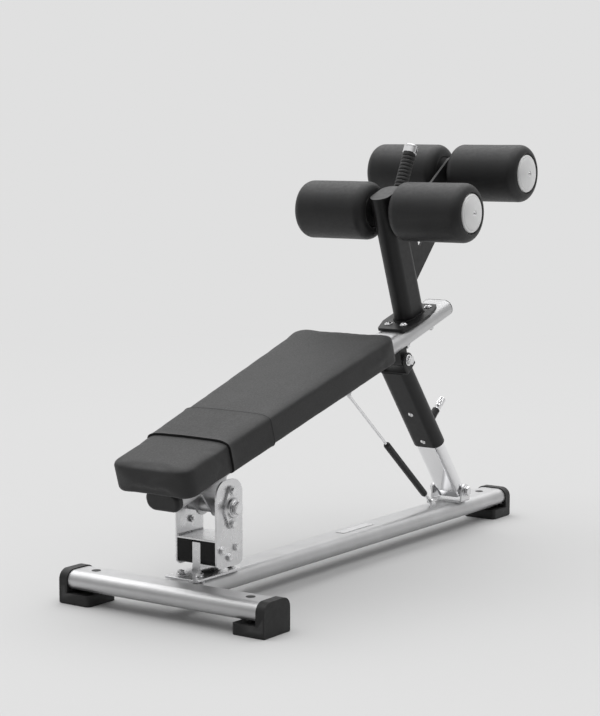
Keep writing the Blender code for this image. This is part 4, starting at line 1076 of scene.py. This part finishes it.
def build_leg():
    low, high, pitch = -0.012, 0.355, 0.02177
    inner = moved(slab(oval(LEG_INNER), high - low, [oval(LEG_INNER, -WALL)], 0.0006, 2), at(z=(low + high) / 2))
    holes = [moved(rod(0.006, 0.012), at(0, 0.012, PIN_Z + step * pitch), TO_REAR) for step in range(-4, 3)]
    inner = carve(inner, moved(rod(PIN_BORE, 0.2), at(-0.1), TO_RIGHT), *holes)
    piece("leg_chrome_tube", inner, LEG, CHROME, "leg_inner", "leg_inner_tube")

    start, end, thick = 0.205, 0.510, 0.006
    shell = moved(slab(oval(LEG_OUTER), end - start, [oval(LEG_OUTER, -WALL)], 0.0006, 2), at(z=(start + end) / 2))
    shell = carve(shell, moved(rod(0.0053, 0.02), at(0, 0.015, PIN_Z), TO_REAR))
    rise = LEG_TOP - end + 0.003
    ear = hull([(0, rise, 0.022)], [(-0.0239, 0), (0.0239, 0), (-0.0239, 0.008), (0.0239, 0.008)])
    yoke = bent_bracket(LEG_OUTER[0] / 2, rise + 0.03, 0.048, thick, ear, 0.0015)
    yoke = carve(yoke, moved(rod(PIN_BORE, 0.2), at(-0.1, 0, rise), TO_RIGHT))
    yoke = moved(soften(yoke, 0.0006, 2, 40), at(z=end - 0.003))
    collar = moved(turned([(0.0053, 0.0645), (0.0095, 0.0645), (0.0115, 0.0630), (0.0115, 0.0400), (0.0122, 0.0390),
                           (0.0122, 0.0020), (0.0135, 0), (0.0053, 0)], 40), at(0, 0.0235, PIN_Z), TO_REAR)
    ring = bead([(x, y, end - 0.0035) for x, y in oval(LEG_OUTER, -0.0006, 10)], 0.0022)
    foot_ring = bead([(x, LEG_OUTER[1] / 2, z) for x, z in circle(0.0132, (0, PIN_Z), 16)], 0.0018)
    piece("leg_black_tube", together(shell, yoke, collar, ring, foot_ring), LEG, PAINT, "leg_outer", "leg_outer_tube")

    for number, z in enumerate((0.2285, 0.3420), 1):
        screw = button_head(0.0068, 0.0034, 0.0010)
        piece(f"guide_screw_{number}", moved(screw, at(0, -LEG_OUTER[1] / 2, z), TO_FRONT), LEG, BOLT, "leg_outer")
    face = LEG_OUTER[0] / 2 + thick + GAP
    pin = through_bolt(0.024, 0.010, PIN_RADIUS, 0.0025, face, 0.25)
    piece("leg_top_pin", pin, LEG @ at(z=LEG_TOP), BOLT, "leg_outer", "leg_top_bolt")
    bush = slab(oval(LEG_OUTER, -WALL - GAP), 0.038, [oval(LEG_INNER, GAP)], 0.0004, 2)
    piece("leg_bush", moved(bush, at(z=start + 0.0185)), LEG, PLASTIC, "leg_outer", "leg_guide_bush")

    tip, knob, tail, wide = LEG_INNER[1] / 2 + GAP, 0.0985, 0.133, 0.0110
    profile = [(0, tail), (wide - 0.0025, tail), (wide - 0.0008, tail - 0.0008), (wide, tail - 0.0026),
               (wide, knob + 0.0100), (wide - 0.0012, knob + 0.0088), (wide - 0.0012, knob + 0.0070),
               (wide - 0.0002, knob + 0.0058), (wide - 0.0002, knob + 0.0012), (wide - 0.0014, knob),
               (0.0050, knob), (0.0050, tip + 0.001), (0.0040, tip), (0, tip)]
    pin = turned(profile, 72)
    for vertex in pin.verts:
        across = vertex.co.xy.length
        if across > wide - 0.0005 and knob + 0.009 < vertex.co.z < tail - 0.002:
            ridge = 1 - 0.035 * (round(math.atan2(vertex.co.y, vertex.co.x) / math.tau * 72) % 2)
            vertex.co.x *= ridge
            vertex.co.y *= ridge
    piece("pop_pin_knob", moved(pin, at(z=PIN_Z), TO_REAR), LEG, CHROME, "locking_pin", "pop_pin")


# ---------------------------------------------------------------- gas spring
def build_gas_spring():
    radius, low, high = 0.010, 0.040, 0.320
    body = turned([(0.0046, high), (0.0060, high), (0.0078, high - 0.0012), (0.0092, high - 0.0038),
                   (radius, high - 0.0065), (radius, high - 0.0160), (radius - 0.0007, high - 0.0168),
                   (radius - 0.0007, high - 0.0178), (radius, high - 0.0186), (radius, low + 0.006),
                   (radius - 0.001, low + 0.002), (radius - 0.004, low), (0.0046, low)], 56)
    neck = moved(rod(0.0050, 0.036, 0.0004, 28), at(z=0.006))
    nut = moved(prism(0.0125, 0.006, 0.0005), at(z=0.0335))
    eye = turned([(0.0043, 0.004), (0.0082, 0.004), (0.0090, 0.0032), (0.0090, -0.0032), (0.0082, -0.004),
                  (0.0043, -0.004)], 40)
    piece("gas_spring_body", body, GAS, PAINT, "gas_body", "gas_cylinder")
    piece("gas_spring_eye", together(neck, nut, moved(eye, TO_RIGHT)), GAS, BOLT, "gas_body")
    stem = moved(rod(0.0040, GAS_TOP - 0.010 - 0.205, 0.0004, 32), at(z=0.205))
    piece("gas_spring_rod", stem, GAS, CHROME, "gas_stem", "gas_rod")
    top_eye = turned([(0.0083, 0.004), (0.0105, 0.004), (0.0112, 0.0033), (0.0112, -0.0033), (0.0105, -0.004),
                      (0.0083, -0.004)], 40)
    shank = moved(rod(0.0055, 0.016, 0.0005, 28), at(z=GAS_TOP - 0.026))
    piece("gas_rod_eye", together(moved(top_eye, at(z=GAS_TOP), TO_RIGHT), shank), GAS, BOLT, "gas_stem")
    eye_y, eye_z = 1.228, 0.098
    outline = hull([(0, eye_z, 0.009)], [(-0.016, BASE_TOP - 0.002), (0.016, BASE_TOP - 0.002)])
    tab = slab(outline, 0.005, (), 0.0006, 2)
    stud = moved(rod(0.0040, 0.0210, 0.0005, 24), at(-0.0090, 0, eye_z), TO_RIGHT)
    clip = moved(turned([(0.0040, 0.0012), (0.0062, 0.0012), (0.0066, 0.0006), (0.0062, 0), (0.0040, 0)], 32),
                 at(-0.0070, 0, eye_z), TO_RIGHT)
    foot = seam((0.0070, -0.0150, BASE_TOP + 0.0006), (0.0070, 0.0150, BASE_TOP + 0.0006), 0.0018, 0.0004)
    parts = [moved(tab, at(0.010), SIDE), stud, clip, foot]
    piece("gas_spring_tab", together(*parts), BASE @ at(0, eye_y, 0), ZINC, "base")


# ---------------------------------------------------------------- studio
FLOOR_GREY = (0.745, 0.745, 0.745, 1)
FLOOR_ALBEDO = 0.565
TO_CAMERA = Vector((0.629, -0.777, 0.0))


def build_floor():
    """A pale floor that fades into the backdrop. What it bounces back dims towards the camera."""
    bpy.ops.mesh.primitive_plane_add(size=400, location=(0, 0, -0.0006))
    floor = bpy.context.object
    floor.name = "studio_floor"
    paint = bpy.data.materials.new("studio_floor")
    paint.use_nodes = True
    paint.node_tree.nodes.clear()
    g = Graph(paint.node_tree)
    place = g.add("NewGeometry").outputs["Position"]
    ahead = g.add("VectorMath", {0: place, 1: TO_CAMERA}, operation="DOT_PRODUCT").outputs["Value"]
    bounce = g.ranged(ahead, FLOOR_ALBEDO, FLOOR_ALBEDO * 0.25, 0.5, 2.4)
    seen = g.add("LightPath").outputs["Is Camera Ray"]
    near = g.add("BsdfDiffuse", {"Color": g.ranged(seen, bounce, FLOOR_ALBEDO, 0, 1)}).outputs["BSDF"]
    far = g.add("Emission", {"Color": FLOOR_GREY}).outputs["Emission"]
    reach = g.add("VectorMath", {0: place}, operation="LENGTH").outputs["Value"]
    faded = g.add("Math", {0: g.ranged(reach, 0, 1, 2.5, 6.0), 1: seen}, operation="MULTIPLY").outputs["Value"]
    g.add("OutputMaterial", {"Surface": g.add("MixShader", {0: faded, 1: near, 2: far}).outputs["Shader"]})
    floor.data.materials.append(paint)


def build_studio():
    """Soft light from above and behind, a bright far wall and a dim side towards the camera."""
    scene = bpy.context.scene
    scene.view_settings.view_transform = "Standard"
    scene.view_settings.look = "None"
    world = bpy.data.worlds.new("studio")
    world.use_nodes = True
    scene.world = world
    world.node_tree.nodes.clear()
    g = Graph(world.node_tree)
    place = g.add("TexCoord").outputs["Generated"]
    facing = g.add("VectorMath", {0: place, 1: TO_CAMERA}, operation="DOT_PRODUCT").outputs["Value"]
    height = g.add("SeparateXYZ", {"Vector": place}).outputs["Z"]
    sides = g.ranged(facing, 0.72, 0.10, -0.6, 0.7, interpolation_type="SMOOTHSTEP")
    dome = g.ranged(height, sides, 0.75, 0.15, 0.80, interpolation_type="SMOOTHSTEP")
    lit = g.add("Background", {"Color": dome}).outputs["Background"]
    backdrop = g.add("Background", {"Color": FLOOR_GREY}).outputs["Background"]
    seen = g.add("LightPath").outputs["Is Camera Ray"]
    g.add("OutputWorld", {"Surface": g.add("MixShader", {0: seen, 1: lit, 2: backdrop}).outputs["Shader"]})

    sun = bpy.data.lights.new("overhead_softbox", "SUN")
    sun.energy = 2.2
    sun.angle = math.radians(85)
    lamp = bpy.data.objects.new("overhead_softbox", sun)
    lean = math.radians(14)
    travel = TO_CAMERA * math.sin(lean) - Vector((0, 0, math.cos(lean)))
    lamp.rotation_euler = travel.to_track_quat("-Z", "Y").to_euler()
    scene.collection.objects.link(lamp)


def build_camera():
    lens_mm, sensor_mm = 98.6, 36.0
    azimuth, drop = math.radians(35.17), math.radians(6.642)
    data = bpy.data.cameras.new("camera")
    data.lens = lens_mm
    data.sensor_width = sensor_mm
    camera = bpy.data.objects.new("camera", data)
    camera.matrix_world = BASE @ at(3.0033, -3.7084, 1.2) @ spun(azimuth) @ spun(math.pi / 2 - drop, "X")
    bpy.context.scene.collection.objects.link(camera)
    bpy.context.scene.camera = camera


for build in (build_base, build_pedestal, build_cradle, build_bearings, build_leg_foot, build_seat_frame, build_pad,
              build_post, build_gusset, build_rollers, build_leg, build_gas_spring, build_floor, build_studio,
              build_camera):
    build()
